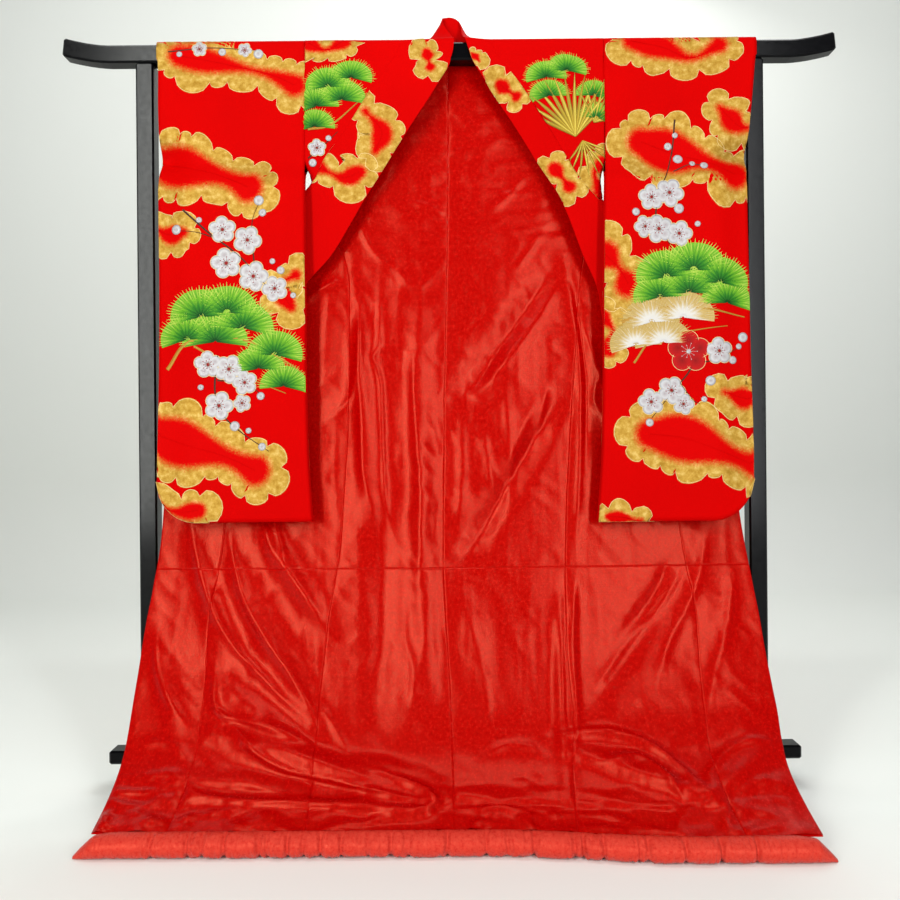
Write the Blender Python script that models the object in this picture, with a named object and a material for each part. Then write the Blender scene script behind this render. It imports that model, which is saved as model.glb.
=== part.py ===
# An uchikake wedding kimono hung open on a black lacquered stand, seen from its lining side.
# Metres, +Z up, floor at z = 0. Left and right are as the viewer sees them, so +X is right.
# The garment is one draped surface. Each panel is a thin wall cut from it between two seams.
import math

import bmesh
import bpy
from mathutils import Vector

# The stand
BAR_HALF_LENGTH = 0.8665
BAR_THICK = 0.040
BAR_TOP = 1.660
BAR_TIP_RISE = 0.017
BAR_TIP_LENGTH = 0.10
BAR_TIP_STEPS = 6
BAR_TIP_CURVE = 1.6
BAR_TIP_LEAN = 0.002
UPRIGHT_THICK = 0.040
UPRIGHT_X = 0.684
BEAM_HALF_LENGTH = 0.775
BEAM_HEIGHT = 0.030
BEAM_DEPTH = 0.050
BEAM_BOTTOM = 0.0478
FOOT_HALF_LENGTH = 0.160
FOOT_HEIGHT = 0.0475
EDGE_ROUND = 0.004
SHARP_ANGLE = 40
CONTACT_GAP = 0.0003

# The cloth: the visible lining face is the drape, and the walls lie behind it
LINING_FACE = 0.0
LINING_BACK = -0.0010
OUTER_FACE = -0.0014
OUTER_BACK = -0.0027
SEAM_GAP = 0.00015
COLLAR_GAP = 0.0006
NAPE_END_INSET = 0.0045
NORMAL_STEP = 0.02
HEIGHT_STEP = 0.003

# Heights along the garment
NECKLINE = 1.640
SHOULDER_START = 1.620
ARMHOLE_BOTTOM = 1.394
OPENING_BOTTOM = 1.260
OKUMI_TOP = 1.300
COLLAR_END = 0.700
SHEET_END = 0.0365
CUFF_BOTTOM = 1.430

# Centre-back drape: height, distance from the bar's middle plane
PROFILE = [
    {"h": 1.640, "y": 0.0265},
    {"h": 1.500, "y": 0.020},
    {"h": 1.300, "y": 0.008},
    {"h": 1.100, "y": -0.012},
    {"h": 0.900, "y": -0.035},
    {"h": 0.700, "y": -0.062},
    {"h": 0.550, "y": -0.084},
    {"h": 0.420, "y": -0.108},
    {"h": 0.310, "y": -0.140},
    {"h": 0.230, "y": -0.176},
    {"h": 0.155, "y": -0.222},
    {"h": 0.098, "y": -0.275},
    {"h": 0.060, "y": -0.322},
    {"h": 0.0365, "y": -0.366},
]

# The side edges stand a little behind the centre, and the right half of the hem reaches forward
EDGE_SETBACK = [
    {"h": 1.640, "back": 0.0, "skew": 0.0},
    {"h": 1.200, "back": 0.003, "skew": 0.0},
    {"h": 0.700, "back": 0.030, "skew": 0.0},
    {"h": 0.400, "back": 0.030, "skew": 0.002},
    {"h": 0.155, "back": 0.024, "skew": 0.018},
    {"h": 0.0365, "back": 0.004, "skew": 0.040},
]

CENTRE_SEAM = [
    {"h": 1.640, "x": -0.003},
    {"h": 1.300, "x": -0.006},
    {"h": 0.900, "x": -0.016},
    {"h": 0.500, "x": -0.022},
    {"h": 0.200, "x": -0.008},
    {"h": 0.0365, "x": -0.004},
]

# Seams of the opened fronts, each measured from the middle: the side seam, the fold behind the
# sleeve where the front turns back, the collar seam, the free edge and how far in front it hangs.
LEFT_SEAMS = [
    {"h": 1.725, "side": 0.322, "turn": 0.322, "seam": 0.070, "free": 0.015, "front": 0.0265},
    {"h": 1.620, "side": 0.322, "turn": 0.322, "seam": 0.124, "free": -0.003, "front": -0.0245},
    {"h": 1.560, "side": 0.322, "turn": 0.322, "seam": 0.166, "free": 0.027, "front": -0.032},
    {"h": 1.459, "side": 0.322, "turn": 0.322, "seam": 0.229, "free": 0.093, "front": -0.034},
    {"h": 1.394, "side": 0.322, "turn": 0.322, "seam": 0.275, "free": 0.134, "front": -0.034},
    {"h": 1.350, "side": 0.306, "turn": 0.306, "seam": 0.296, "free": 0.162, "front": -0.034},
    {"h": 1.315, "side": 0.297, "turn": 0.331, "seam": 0.331, "free": 0.185, "front": -0.034},
    {"h": 1.260, "side": 0.288, "turn": 0.400, "seam": 0.400, "free": 0.217, "front": -0.034},
    {"h": 1.180, "side": 0.240, "turn": 0.430, "seam": 0.430, "free": 0.266, "front": -0.035},
    {"h": 1.110, "side": 0.229, "turn": 0.450, "seam": 0.450, "free": 0.327, "front": -0.036},
    {"h": 0.900, "side": 0.230, "turn": 0.552, "seam": 0.552, "free": 0.430, "front": -0.046},
    {"h": 0.700, "side": 0.236, "turn": 0.628, "seam": 0.628, "free": 0.520, "front": -0.062},
    {"h": 0.655, "side": 0.239, "turn": 0.638, "seam": 0.638, "free": 0.638, "front": -0.060},
    {"h": 0.540, "side": 0.246, "turn": 0.645, "seam": 0.645, "free": 0.645, "front": -0.060},
    {"h": 0.450, "side": 0.259, "turn": 0.657, "seam": 0.657, "free": 0.657, "front": -0.060},
    {"h": 0.375, "side": 0.269, "turn": 0.668, "seam": 0.668, "free": 0.668, "front": -0.060},
    {"h": 0.225, "side": 0.281, "turn": 0.675, "seam": 0.675, "free": 0.675, "front": -0.060},
    {"h": 0.120, "side": 0.282, "turn": 0.673, "seam": 0.673, "free": 0.673, "front": -0.060},
    {"h": 0.0365, "side": 0.282, "turn": 0.681, "seam": 0.681, "free": 0.681, "front": -0.060},
]
RIGHT_SEAMS = [
    {"h": 1.725, "side": 0.344, "turn": 0.344, "seam": 0.065, "free": 0.025, "front": 0.0265},
    {"h": 1.620, "side": 0.344, "turn": 0.344, "seam": 0.112, "free": 0.050, "front": -0.0245},
    {"h": 1.560, "side": 0.344, "turn": 0.344, "seam": 0.155, "free": 0.088, "front": -0.032},
    {"h": 1.459, "side": 0.344, "turn": 0.344, "seam": 0.219, "free": 0.154, "front": -0.034},
    {"h": 1.394, "side": 0.344, "turn": 0.344, "seam": 0.257, "free": 0.193, "front": -0.034},
    {"h": 1.350, "side": 0.334, "turn": 0.334, "seam": 0.283, "free": 0.218, "front": -0.034},
    {"h": 1.300, "side": 0.324, "turn": 0.340, "seam": 0.325, "free": 0.245, "front": -0.034},
    {"h": 1.260, "side": 0.318, "turn": 0.395, "seam": 0.380, "free": 0.262, "front": -0.034},
    {"h": 1.180, "side": 0.300, "turn": 0.435, "seam": 0.430, "free": 0.291, "front": -0.035},
    {"h": 1.100, "side": 0.288, "turn": 0.465, "seam": 0.465, "free": 0.324, "front": -0.036},
    {"h": 0.987, "side": 0.278, "turn": 0.515, "seam": 0.515, "free": 0.343, "front": -0.041},
    {"h": 0.900, "side": 0.270, "turn": 0.560, "seam": 0.560, "free": 0.420, "front": -0.046},
    {"h": 0.700, "side": 0.254, "turn": 0.622, "seam": 0.622, "free": 0.510, "front": -0.062},
    {"h": 0.655, "side": 0.250, "turn": 0.628, "seam": 0.628, "free": 0.628, "front": -0.060},
    {"h": 0.560, "side": 0.245, "turn": 0.637, "seam": 0.637, "free": 0.637, "front": -0.060},
    {"h": 0.450, "side": 0.240, "turn": 0.652, "seam": 0.652, "free": 0.652, "front": -0.060},
    {"h": 0.360, "side": 0.238, "turn": 0.662, "seam": 0.662, "free": 0.662, "front": -0.060},
    {"h": 0.215, "side": 0.240, "turn": 0.666, "seam": 0.666, "free": 0.666, "front": -0.060},
    {"h": 0.106, "side": 0.230, "turn": 0.655, "seam": 0.655, "free": 0.655, "front": -0.060},
    {"h": 0.0365, "side": 0.224, "turn": 0.667, "seam": 0.667, "free": 0.667, "front": -0.060},
]
SEAMS = {-1: LEFT_SEAMS, 1: RIGHT_SEAMS}
TURN_RADIUS = 0.007
TURN_EASE = 0.03
OVERLAP_LIFT = 0.003
OKUMI_SHARE = 0.8

OKUMI_WIDTH = [
    {"h": 1.300, "width": 0.006},
    {"h": 0.900, "width": 0.085},
    {"h": 0.700, "width": 0.140},
    {"h": 0.400, "width": 0.140},
    {"h": 0.200, "width": 0.152},
    {"h": 0.0365, "width": 0.140},
]

# The way over the bar, as a length from the front: depth and height
OVER_BAR = [
    {"h": 1.620, "y": -0.0245, "z": 1.620},
    {"h": 1.650, "y": -0.0245, "z": 1.650},
    {"h": 1.664, "y": -0.0180, "z": 1.663},
    {"h": 1.682, "y": 0.0000, "z": 1.665},
    {"h": 1.700, "y": 0.0180, "z": 1.663},
    {"h": 1.715, "y": 0.0250, "z": 1.650},
    {"h": 1.725, "y": 0.0265, "z": 1.6403},
]

# The collar's edges where it passes over the bar and stands up behind the neck
LEFT_NECK = [
    {"h": 1.620, "seam": -0.124, "x": 0.003, "y": -0.0245, "z": 1.620},
    {"h": 1.650, "seam": -0.110, "x": 0.009, "y": -0.0240, "z": 1.642},
    {"h": 1.664, "seam": -0.107, "x": 0.011, "y": -0.0215, "z": 1.664},
    {"h": 1.682, "seam": -0.104, "x": 0.008, "y": -0.0060, "z": 1.674},
    {"h": 1.700, "seam": -0.096, "x": 0.000, "y": 0.0080, "z": 1.692},
    {"h": 1.715, "seam": -0.084, "x": -0.009, "y": 0.0180, "z": 1.710},
    {"h": 1.725, "seam": -0.070, "x": -0.014, "y": 0.0280, "z": 1.726},
]
RIGHT_NECK = [
    {"h": 1.620, "seam": 0.112, "x": 0.050, "y": -0.0240, "z": 1.620},
    {"h": 1.650, "seam": 0.096, "x": 0.043, "y": -0.0235, "z": 1.642},
    {"h": 1.664, "seam": 0.093, "x": 0.036, "y": -0.0215, "z": 1.664},
    {"h": 1.682, "seam": 0.090, "x": 0.030, "y": -0.0050, "z": 1.677},
    {"h": 1.700, "seam": 0.084, "x": 0.027, "y": 0.0100, "z": 1.692},
    {"h": 1.715, "seam": 0.075, "x": 0.0265, "y": 0.0220, "z": 1.706},
    {"h": 1.725, "seam": 0.065, "x": 0.025, "y": 0.0340, "z": 1.722},
]
NECK = {-1: LEFT_NECK, 1: RIGHT_NECK}
NAPE = [
    {"h": 0.0, "seam": -0.070, "x": -0.014, "y": 0.0280, "z": 1.726},
    {"h": 1.0, "seam": -0.035, "x": -0.012, "y": 0.0400, "z": 1.741},
    {"h": 2.0, "seam": 0.002, "x": 0.001, "y": 0.0480, "z": 1.7464},
    {"h": 3.0, "seam": 0.035, "x": 0.016, "y": 0.0450, "z": 1.741},
    {"h": 4.0, "seam": 0.065, "x": 0.025, "y": 0.0340, "z": 1.722},
]
RIGHT_FREE_SETBACK = 0.022
SETBACK_TOP = 1.60
SETBACK_EASE_TOP = 0.06
SETBACK_EASE_BOTTOM = 0.10

# Large folds of the opened fronts and of the train in front of the hem, as soft ridges (or troughs
# where the rise is negative) from one place to another: x and height, half width and rise.
# Heights near the floor stand for a long run of cloth, so they count for more there.
FLOOR_REACH = 0.35
FLOOR_STRETCH = 0.8
FOLD_END_SHARE = 0.35
FOLD_LEAN = 0.6
FOLD_FADE = 0.03
FOLDS = [
    {"x1": -0.50, "h1": 0.52, "x2": -0.28, "h2": 0.17, "half": 0.030, "rise": 0.012},
    {"x1": -0.42, "h1": 0.58, "x2": -0.27, "h2": 0.36, "half": 0.026, "rise": 0.011},
    {"x1": -0.57, "h1": 0.56, "x2": -0.46, "h2": 0.22, "half": 0.030, "rise": 0.010},
    {"x1": -0.64, "h1": 0.34, "x2": -0.56, "h2": 0.15, "half": 0.026, "rise": 0.010},
    {"x1": -0.50, "h1": 0.26, "x2": -0.29, "h2": 0.13, "half": 0.026, "rise": 0.012},
    {"x1": -0.49, "h1": 0.17, "x2": -0.05, "h2": 0.075, "half": 0.024, "rise": 0.020},
    {"x1": -0.55, "h1": 0.105, "x2": -0.05, "h2": 0.055, "half": 0.018, "rise": 0.012},
    {"x1": -0.44, "h1": 0.12, "x2": -0.18, "h2": 0.085, "half": 0.016, "rise": -0.008},
    {"x1": -0.20, "h1": 0.13, "x2": -0.06, "h2": 0.105, "half": 0.018, "rise": 0.010},
    {"x1": -0.06, "h1": 0.060, "x2": 0.30, "h2": 0.055, "half": 0.016, "rise": -0.008},
    {"x1": 0.236, "h1": 0.42, "x2": 0.215, "h2": 0.07, "half": 0.018, "rise": 0.014},
    {"x1": 0.22, "h1": 0.145, "x2": 0.50, "h2": 0.080, "half": 0.024, "rise": 0.015},
    {"x1": 0.30, "h1": 0.125, "x2": 0.48, "h2": 0.075, "half": 0.018, "rise": 0.010},
    {"x1": 0.49, "h1": 0.085, "x2": 0.64, "h2": 0.145, "half": 0.022, "rise": 0.012},
    {"x1": 0.50, "h1": 0.48, "x2": 0.30, "h2": 0.24, "half": 0.028, "rise": -0.010},
    {"x1": 0.22, "h1": 1.13, "x2": 0.01, "h2": 0.86, "half": 0.030, "rise": -0.012},
    {"x1": 0.24, "h1": 0.86, "x2": 0.02, "h2": 0.50, "half": 0.030, "rise": -0.012},
    {"x1": -0.20, "h1": 1.00, "x2": -0.18, "h2": 0.60, "half": 0.024, "rise": 0.012},
    {"x1": -0.07, "h1": 1.05, "x2": -0.06, "h2": 0.25, "half": 0.026, "rise": 0.010},
    {"x1": -0.15, "h1": 0.60, "x2": -0.16, "h2": 0.18, "half": 0.028, "rise": -0.008},
]

# Sleeve bag: height, inner and outer edge, depth of its front and back layers
LEFT_SLEEVE = [
    {"h": 1.665, "inner": 0.3226, "outer": 0.656, "front": -0.0245, "back": 0.0265},
    {"h": 1.620, "inner": 0.3226, "outer": 0.651, "front": -0.0245, "back": 0.0258},
    {"h": 1.500, "inner": 0.3226, "outer": 0.648, "front": -0.0340, "back": 0.0200},
    {"h": 1.394, "inner": 0.3226, "outer": 0.645, "front": -0.0345, "back": 0.0140},
    {"h": 1.360, "inner": 0.3220, "outer": 0.644, "front": -0.0480, "back": -0.0290},
    {"h": 1.330, "inner": 0.3210, "outer": 0.643, "front": -0.0620, "back": -0.0440},
    {"h": 1.100, "inner": 0.3200, "outer": 0.640, "front": -0.0700, "back": -0.0520},
    {"h": 0.900, "inner": 0.3180, "outer": 0.639, "front": -0.0820, "back": -0.0640},
    {"h": 0.750, "inner": 0.3130, "outer": 0.638, "front": -0.0990, "back": -0.0810},
    {"h": 0.597, "inner": 0.3020, "outer": 0.636, "front": -0.1150, "back": -0.0970},
]
RIGHT_SLEEVE = [
    {"h": 1.665, "inner": 0.3446, "outer": 0.688, "front": -0.0245, "back": 0.0265},
    {"h": 1.620, "inner": 0.3446, "outer": 0.684, "front": -0.0245, "back": 0.0258},
    {"h": 1.500, "inner": 0.3446, "outer": 0.670, "front": -0.0340, "back": 0.0200},
    {"h": 1.394, "inner": 0.3446, "outer": 0.659, "front": -0.0345, "back": 0.0140},
    {"h": 1.360, "inner": 0.3420, "outer": 0.656, "front": -0.0480, "back": -0.0290},
    {"h": 1.330, "inner": 0.3400, "outer": 0.652, "front": -0.0620, "back": -0.0440},
    {"h": 1.100, "inner": 0.3340, "outer": 0.653, "front": -0.0700, "back": -0.0520},
    {"h": 0.900, "inner": 0.3300, "outer": 0.652, "front": -0.0820, "back": -0.0640},
    {"h": 0.750, "inner": 0.3240, "outer": 0.650, "front": -0.0990, "back": -0.0810},
    {"h": 0.592, "inner": 0.3100, "outer": 0.642, "front": -0.1150, "back": -0.0970},
]
SLEEVES = {-1: LEFT_SLEEVE, 1: RIGHT_SLEEVE}
SLEEVE_CORNER = 0.085
SLEEVE_CUFF_BACK_X = 0.655
SLEEVE_EDGE_GAP = 0.0012
SLEEVE_HEM_DROP = 0.003
SLEEVE_CLOSING_START = 0.72
SLEEVE_SEWN_MARGIN = 0.03
SLEEVE_SEWN_EASE = 0.05
SLEEVE_MIDDLE = 0.7

# The padded hem roll, tip to tip: its half thickness, and how far its tips reach forward
HEM_ROLL = [
    {"x": -0.7050, "forward": 0.008, "half": 0.003},
    {"x": -0.6900, "forward": 0.005, "half": 0.011},
    {"x": -0.6650, "forward": 0.001, "half": 0.0205},
    {"x": -0.6200, "forward": 0.000, "half": 0.0225},
    {"x": 0.6000, "forward": 0.000, "half": 0.0225},
    {"x": 0.6450, "forward": 0.001, "half": 0.0205},
    {"x": 0.6680, "forward": 0.005, "half": 0.0110},
    {"x": 0.6820, "forward": 0.008, "half": 0.003},
]
ROLL_HALF = 0.0225
ROLL_WIDENING = 1.12
ROLL_GAP = -0.0004
ROLL_SIDES = 10
ROLL_STEPS = 56
ROLL_FLATTENING = 0.93
ROLL_CROWDING = 0.035
TUFTS = [-0.56, -0.48, -0.42, -0.37, -0.32, -0.24, -0.17, -0.11, -0.03, 0.05, 0.12, 0.19, 0.24, 0.30, 0.37,
         0.43, 0.50, 0.58]
TUFT_HALF = 0.010
TUFT_DEPTH = 0.0022

# Heights of the rows of the drape, and parts of each panel's width for its columns
LINING_JOIN = 0.490
OKUMI_START = 1.280
FRONT_ROWS = [1.560, 1.480, ARMHOLE_BOTTOM, 1.350, 1.315, OKUMI_TOP - SEAM_GAP, OKUMI_START]
UPPER_ROWS = [NECKLINE, 1.560, 1.480, ARMHOLE_BOTTOM, 1.350, 1.300, OPENING_BOTTOM, 1.200, 1.130, 1.060, 0.980,
              0.900, 0.820, 0.755, COLLAR_END, 0.655, 0.600, 0.545, LINING_JOIN]
LOWER_ROWS = [LINING_JOIN, 0.440, 0.390, 0.340, 0.295, 0.255, 0.218, 0.184, 0.154, 0.128, 0.107, 0.090, 0.076,
              0.063, 0.050, SHEET_END]
BACK_COLUMNS = [0.0, 0.17, 0.34, 0.51, 0.68, 0.84, 1.0]
FRONT_COLUMNS = [0.0, 0.18, 0.36, 0.54, 0.72, 0.88, 1.0]
OKUMI_COLUMNS = [0.0, 0.4, 0.8, 1.0]
COLLAR_COLUMNS = [0.0, 0.1, 0.45, 1.0]
SLEEVE_COLUMNS = [0.0, 0.2, 0.45, 0.68, 0.84, 0.94, 1.0]
NAPE_STEPS = [0.0, 0.5, 1.0, 1.5, 2.0, 2.5, 3.0, 3.5, 4.0]
SLEEVE_FRACTIONS = [0.0, 0.03, 0.08, 0.16, 0.27, 0.39, 0.51, 0.62, 0.72, 0.745, 0.78, 0.84, 0.92]


def remove_old_objects():
    for old in list(bpy.data.objects):
        bpy.data.objects.remove(old, do_unlink=True)


def material(name, color, roughness, metallic=0.0):
    made = bpy.data.materials.new(name)
    made.use_nodes = True
    shader = made.node_tree.nodes["Principled BSDF"]
    shader.inputs["Base Color"].default_value = (*color, 1.0)
    shader.inputs["Roughness"].default_value = roughness
    shader.inputs["Metallic"].default_value = metallic
    return made


def read(table, place, column):
    """The column's value at a place along the table's first column, on a curve that never overshoots."""
    key = next(iter(table[0]))
    rows = sorted(table, key=lambda row: row[key])
    places = [row[key] for row in rows]
    values = [row[column] for row in rows]
    if place <= places[0]:
        return values[0]
    if place >= places[-1]:
        return values[-1]
    slopes = [(values[i + 1] - values[i]) / (places[i + 1] - places[i]) for i in range(len(rows) - 1)]
    i = max(k for k in range(len(rows) - 1) if places[k] <= place)

    def tangent(k):
        if k == 0:
            return slopes[0]
        if k == len(slopes):
            return slopes[-1]
        if slopes[k - 1] * slopes[k] <= 0:
            return 0.0
        return 2 * slopes[k - 1] * slopes[k] / (slopes[k - 1] + slopes[k])

    width = places[i + 1] - places[i]
    t = (place - places[i]) / width
    start = values[i] * (1 + 2 * t) * (1 - t) ** 2 + width * tangent(i) * t * (1 - t) ** 2
    end = values[i + 1] * t * t * (3 - 2 * t) + width * tangent(i + 1) * t * t * (t - 1)
    return start + end


def mix(a, b, t):
    return a + (b - a) * t


def smooth(t):
    t = min(max(t, 0.0), 1.0)
    return t * t * (3 - 2 * t)


def drape_y(x, h):
    """Depth of the hanging cloth behind or in front of the bar's middle plane."""
    across = min(abs(x) / 0.65, 1.2)
    skew = smooth((x - 0.05) / 0.40)
    depth = read(PROFILE, h, "y") + read(EDGE_SETBACK, h, "back") * across ** 2
    return depth - read(EDGE_SETBACK, h, "skew") * skew


def fold_rise(x, h):
    """How far the large folds lift the cloth towards the viewer."""
    total = 0.0
    stretch = 1.0 + FLOOR_STRETCH * (1 - smooth(h / FLOOR_REACH))
    for fold in FOLDS:
        along_x = fold["x2"] - fold["x1"]
        along_h = fold["h2"] - fold["h1"]
        run = along_x ** 2 + (along_h * stretch) ** 2
        part = ((x - fold["x1"]) * along_x + (h - fold["h1"]) * along_h * stretch ** 2) / run
        near = min(max(part, 0.0), 1.0)
        away_x = x - fold["x1"] - near * along_x
        away_h = (h - fold["h1"] - near * along_h) * stretch
        away = math.hypot(away_x, away_h) / fold["half"]
        swell = mix(FOLD_END_SHARE, 1.0, math.sin(math.pi * near))
        total += fold["rise"] * swell * math.exp(-away * away)
    return total * smooth((h - SHEET_END) / FOLD_FADE)


def drape(x, h):
    """A point of the flat part of the drape."""
    run = read(PROFILE, h + HEIGHT_STEP, "y") - read(PROFILE, h - HEIGHT_STEP, "y")
    slope_y = run / (2 * HEIGHT_STEP)
    length = math.hypot(1.0, slope_y)
    rise = fold_rise(x, h)
    return Vector((x, drape_y(x, h) - rise / length, h + rise * slope_y / length * FOLD_LEAN))


def back_point(side, u, h):
    """The back, from the centre seam at u = 0 to the side seam at u = 1."""
    edge = side * read(SEAMS[side], min(h, NECKLINE), "side")
    if h > OPENING_BOTTOM:
        edge = side * back_side(side, h)
    return drape(mix(read(CENTRE_SEAM, h, "x"), edge, u), h)


def back_side(side, h):
    """The back's own side edge above the side seam, up the side opening and the armhole."""
    armhole = read(SEAMS[side], ARMHOLE_BOTTOM, "side")
    seam_top = read(SEAMS[side], OPENING_BOTTOM, "side")
    return mix(seam_top, armhole, smooth((h - OPENING_BOTTOM) / (ARMHOLE_BOTTOM - OPENING_BOTTOM)))


def front_path(side, h, part):
    """A row of the opened front from the side seam (part 0) to the free edge (part 1).

    Below the armhole it runs outward behind the sleeve, turns and comes back in front of itself.
    """
    row = {name: read(SEAMS[side], h, name) for name in ("side", "turn", "seam", "free", "front")}
    outward = max(row["turn"] - row["side"], 0.0)
    whole = outward + max(row["turn"] - row["free"], 0.0)
    distance = part * whole
    folded = smooth((whole - outward) / TURN_EASE)
    past = distance - outward
    bend = math.hypot(past, TURN_RADIUS) - TURN_RADIUS
    if past < 0:
        scale = outward / max(math.hypot(outward, TURN_RADIUS) - TURN_RADIUS, 1e-6)
    else:
        back = whole - outward
        scale = back / max(math.hypot(back, TURN_RADIUS) - TURN_RADIUS, 1e-6)
    x = side * mix(row["side"] + distance, row["turn"] - bend * scale, folded)

    def sway(value):
        return 0.5 + 0.5 * value / math.hypot(value, TURN_RADIUS)

    start = sway(-outward)
    turned = (sway(past) - start) / max(sway(whole - outward) - start, 1e-6)
    behind = drape(x, min(h, NECKLINE))
    if h > OPENING_BOTTOM:
        rise = smooth((h - OPENING_BOTTOM) / (ARMHOLE_BOTTOM - OPENING_BOTTOM))
        behind.y = mix(behind.y, row["front"] + OVERLAP_LIFT * rise, rise)
    ahead = row["front"]
    if side > 0 and h > OKUMI_TOP:
        # The right half of the collar leans inward from its seam to its free edge
        seam_part = (row["turn"] - row["seam"]) / max(row["turn"] - row["free"], 1e-6)
        lean = min(max((part - seam_part) / max(1 - seam_part, 1e-6), 0.0), 1.0)
        ease = smooth((SETBACK_TOP - h) / SETBACK_EASE_TOP)
        ease *= smooth((h - OKUMI_TOP) / SETBACK_EASE_BOTTOM)
        ahead += RIGHT_FREE_SETBACK * lean * ease
    y = mix(behind.y, ahead, turned * folded)
    return Vector((x, y, mix(behind.z, h, turned * folded)))


def front_parts(side, h):
    """Where the row passes the okumi seam and the collar seam, as parts of its whole length."""
    row = {name: read(SEAMS[side], h, name) for name in ("side", "turn", "seam", "free")}
    outward = max(row["turn"] - row["side"], 0.0)
    whole = outward + max(row["turn"] - row["free"], 0.0)
    collar = outward + max(row["turn"] - row["seam"], 0.0)
    okumi = collar
    if h <= OKUMI_TOP:
        okumi = collar - min(read(OKUMI_WIDTH, h, "width"), collar * OKUMI_SHARE)
    return okumi / whole, collar / whole


def over_bar(side, u, h):
    """The front's shoulder, from the armhole at u = 0 to the collar seam at u = 1."""
    armhole = side * read(SEAMS[side], SHOULDER_START, "side")
    x = mix(armhole, read(NECK[side], h, "seam"), u)
    return Vector((x, read(OVER_BAR, h, "y"), read(OVER_BAR, h, "z")))


def collar_over_bar(side, u, h):
    seam = over_bar(side, 1.0, h)
    free = Vector([read(NECK[side], h, axis) for axis in "xyz"])
    return seam.lerp(free, u)


def garment_point(station, h):
    """The whole drape. The station counts panels from the centre back: 0 to 1 is the back, 1 to 2 the
    front, 2 to 3 the okumi and 3 to 4 the collar, negative on the left."""
    side = -1 if station < 0 else 1
    place = abs(station)
    if place <= 1:
        return back_point(side, place, h)
    if h > SHOULDER_START:
        if place <= 3:
            return over_bar(side, min(place - 1, 1.0), h)
        return collar_over_bar(side, place - 3, h)
    okumi, collar = front_parts(side, h)
    if place <= 2:
        part = mix(0.0, okumi, place - 1)
    elif place <= 3:
        part = mix(okumi, collar, place - 2)
    else:
        part = mix(collar, 1.0, place - 3)
    return front_path(side, h, part)


def garment_normal(station, h, low, high):
    """The direction that the lining faces. Low and high bound the stations that hang together here."""
    step = NORMAL_STEP
    here = abs(station)
    side = -1 if station < 0 else 1
    if here > 1.0 and h > OKUMI_TOP and abs(here - 2.5) <= 0.5 + step:
        # No okumi lies between the front and the collar up here
        before = garment_point(side * (2 - step), h)
        after = garment_point(side * (3 + 2 * step), h)
        across = (after - before) * side
    else:
        before = garment_point(max(station - step, low), h)
        after = garment_point(min(station + step, high), h)
        across = after - before
    upward = garment_point(station, h + HEIGHT_STEP) - garment_point(station, h - HEIGHT_STEP)
    if abs(h - NECKLINE) < CONTACT_GAP and here <= 1.0:
        upward = Vector((0, 0, 1))
    return across.cross(upward).normalized()


def mesh_object(name, points, faces, look):
    mesh = bpy.data.meshes.new(name)
    mesh.from_pydata([tuple(point) for point in points], [], faces)
    mesh.materials.append(look)
    made = bpy.data.objects.new(name, mesh)
    bpy.context.collection.objects.link(made)
    builder = bmesh.new()
    builder.from_mesh(mesh)
    bmesh.ops.recalc_face_normals(builder, faces=builder.faces)
    builder.to_mesh(mesh)
    builder.free()
    mesh.shade_smooth()
    return made


def wall(name, rows, near, far, look):
    """A closed wall between two offsets of a grid of (point, normal)."""
    count = len(rows[0])
    points = [point + normal * near for row in rows for point, normal in row]
    points += [point + normal * far for row in rows for point, normal in row]
    size = len(rows) * count
    faces = []
    for i in range(len(rows) - 1):
        for j in range(count - 1):
            a = i * count + j
            b = a + 1
            c = a + count + 1
            d = a + count
            faces.append((a, b, c))
            faces.append((a, c, d))
            faces.append((size + a, size + c, size + b))
            faces.append((size + a, size + d, size + c))
    rim = [j for j in range(count)]
    rim += [i * count + count - 1 for i in range(1, len(rows))]
    rim += [(len(rows) - 1) * count + j for j in range(count - 2, -1, -1)]
    rim += [i * count for i in range(len(rows) - 2, 0, -1)]
    for a, b in zip(rim, rim[1:] + rim[:1]):
        faces.append((a, size + a, size + b, b))
    return mesh_object(name, points, faces, look)


def panel_rows(side, first, columns, heights, low, high, gap=SEAM_GAP):
    """Grid rows of one panel, drawn in from its seams by half the seam gap."""
    rows = []
    for h in heights:
        start = garment_point(side * (first + columns[0]), h)
        end = garment_point(side * (first + columns[-1]), h)
        width = max((end - start).length, 0.004)
        row = []
        for u in columns:
            inset = gap / width
            station = side * (first + min(max(u, inset), 1 - inset))
            row.append((garment_point(station, h), garment_normal(side * (first + u), h, low, high)))
        rows.append(row)
    return rows


def trimmed(heights):
    """Row heights with the first and last drawn in from the seams above and below."""
    return [heights[0] - SEAM_GAP] + heights[1:-1] + [heights[-1] + SEAM_GAP]


def back_panels(side, tag, outer, lining):
    heights = UPPER_ROWS[:-1] + LOWER_ROWS

    def rows_for(levels):
        rows = []
        for h in levels:
            low, high = (-4, 4) if h <= OPENING_BOTTOM else (-1, 1)
            rows += panel_rows(side, 0, BACK_COLUMNS, [h], low, high)
        return rows

    wall("back_" + tag, rows_for(trimmed(heights)), OUTER_FACE, OUTER_BACK, outer)
    wall("lining_back_upper_" + tag, rows_for(trimmed(UPPER_ROWS)), LINING_FACE, LINING_BACK, lining)
    wall("lining_back_lower_" + tag, rows_for(trimmed(LOWER_ROWS)), LINING_FACE, LINING_BACK, lining)


def front_limits(side, h):
    if h <= OPENING_BOTTOM:
        return (-4, 4)
    return (-4, -1.0001) if side < 0 else (1.0001, 4)


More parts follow.
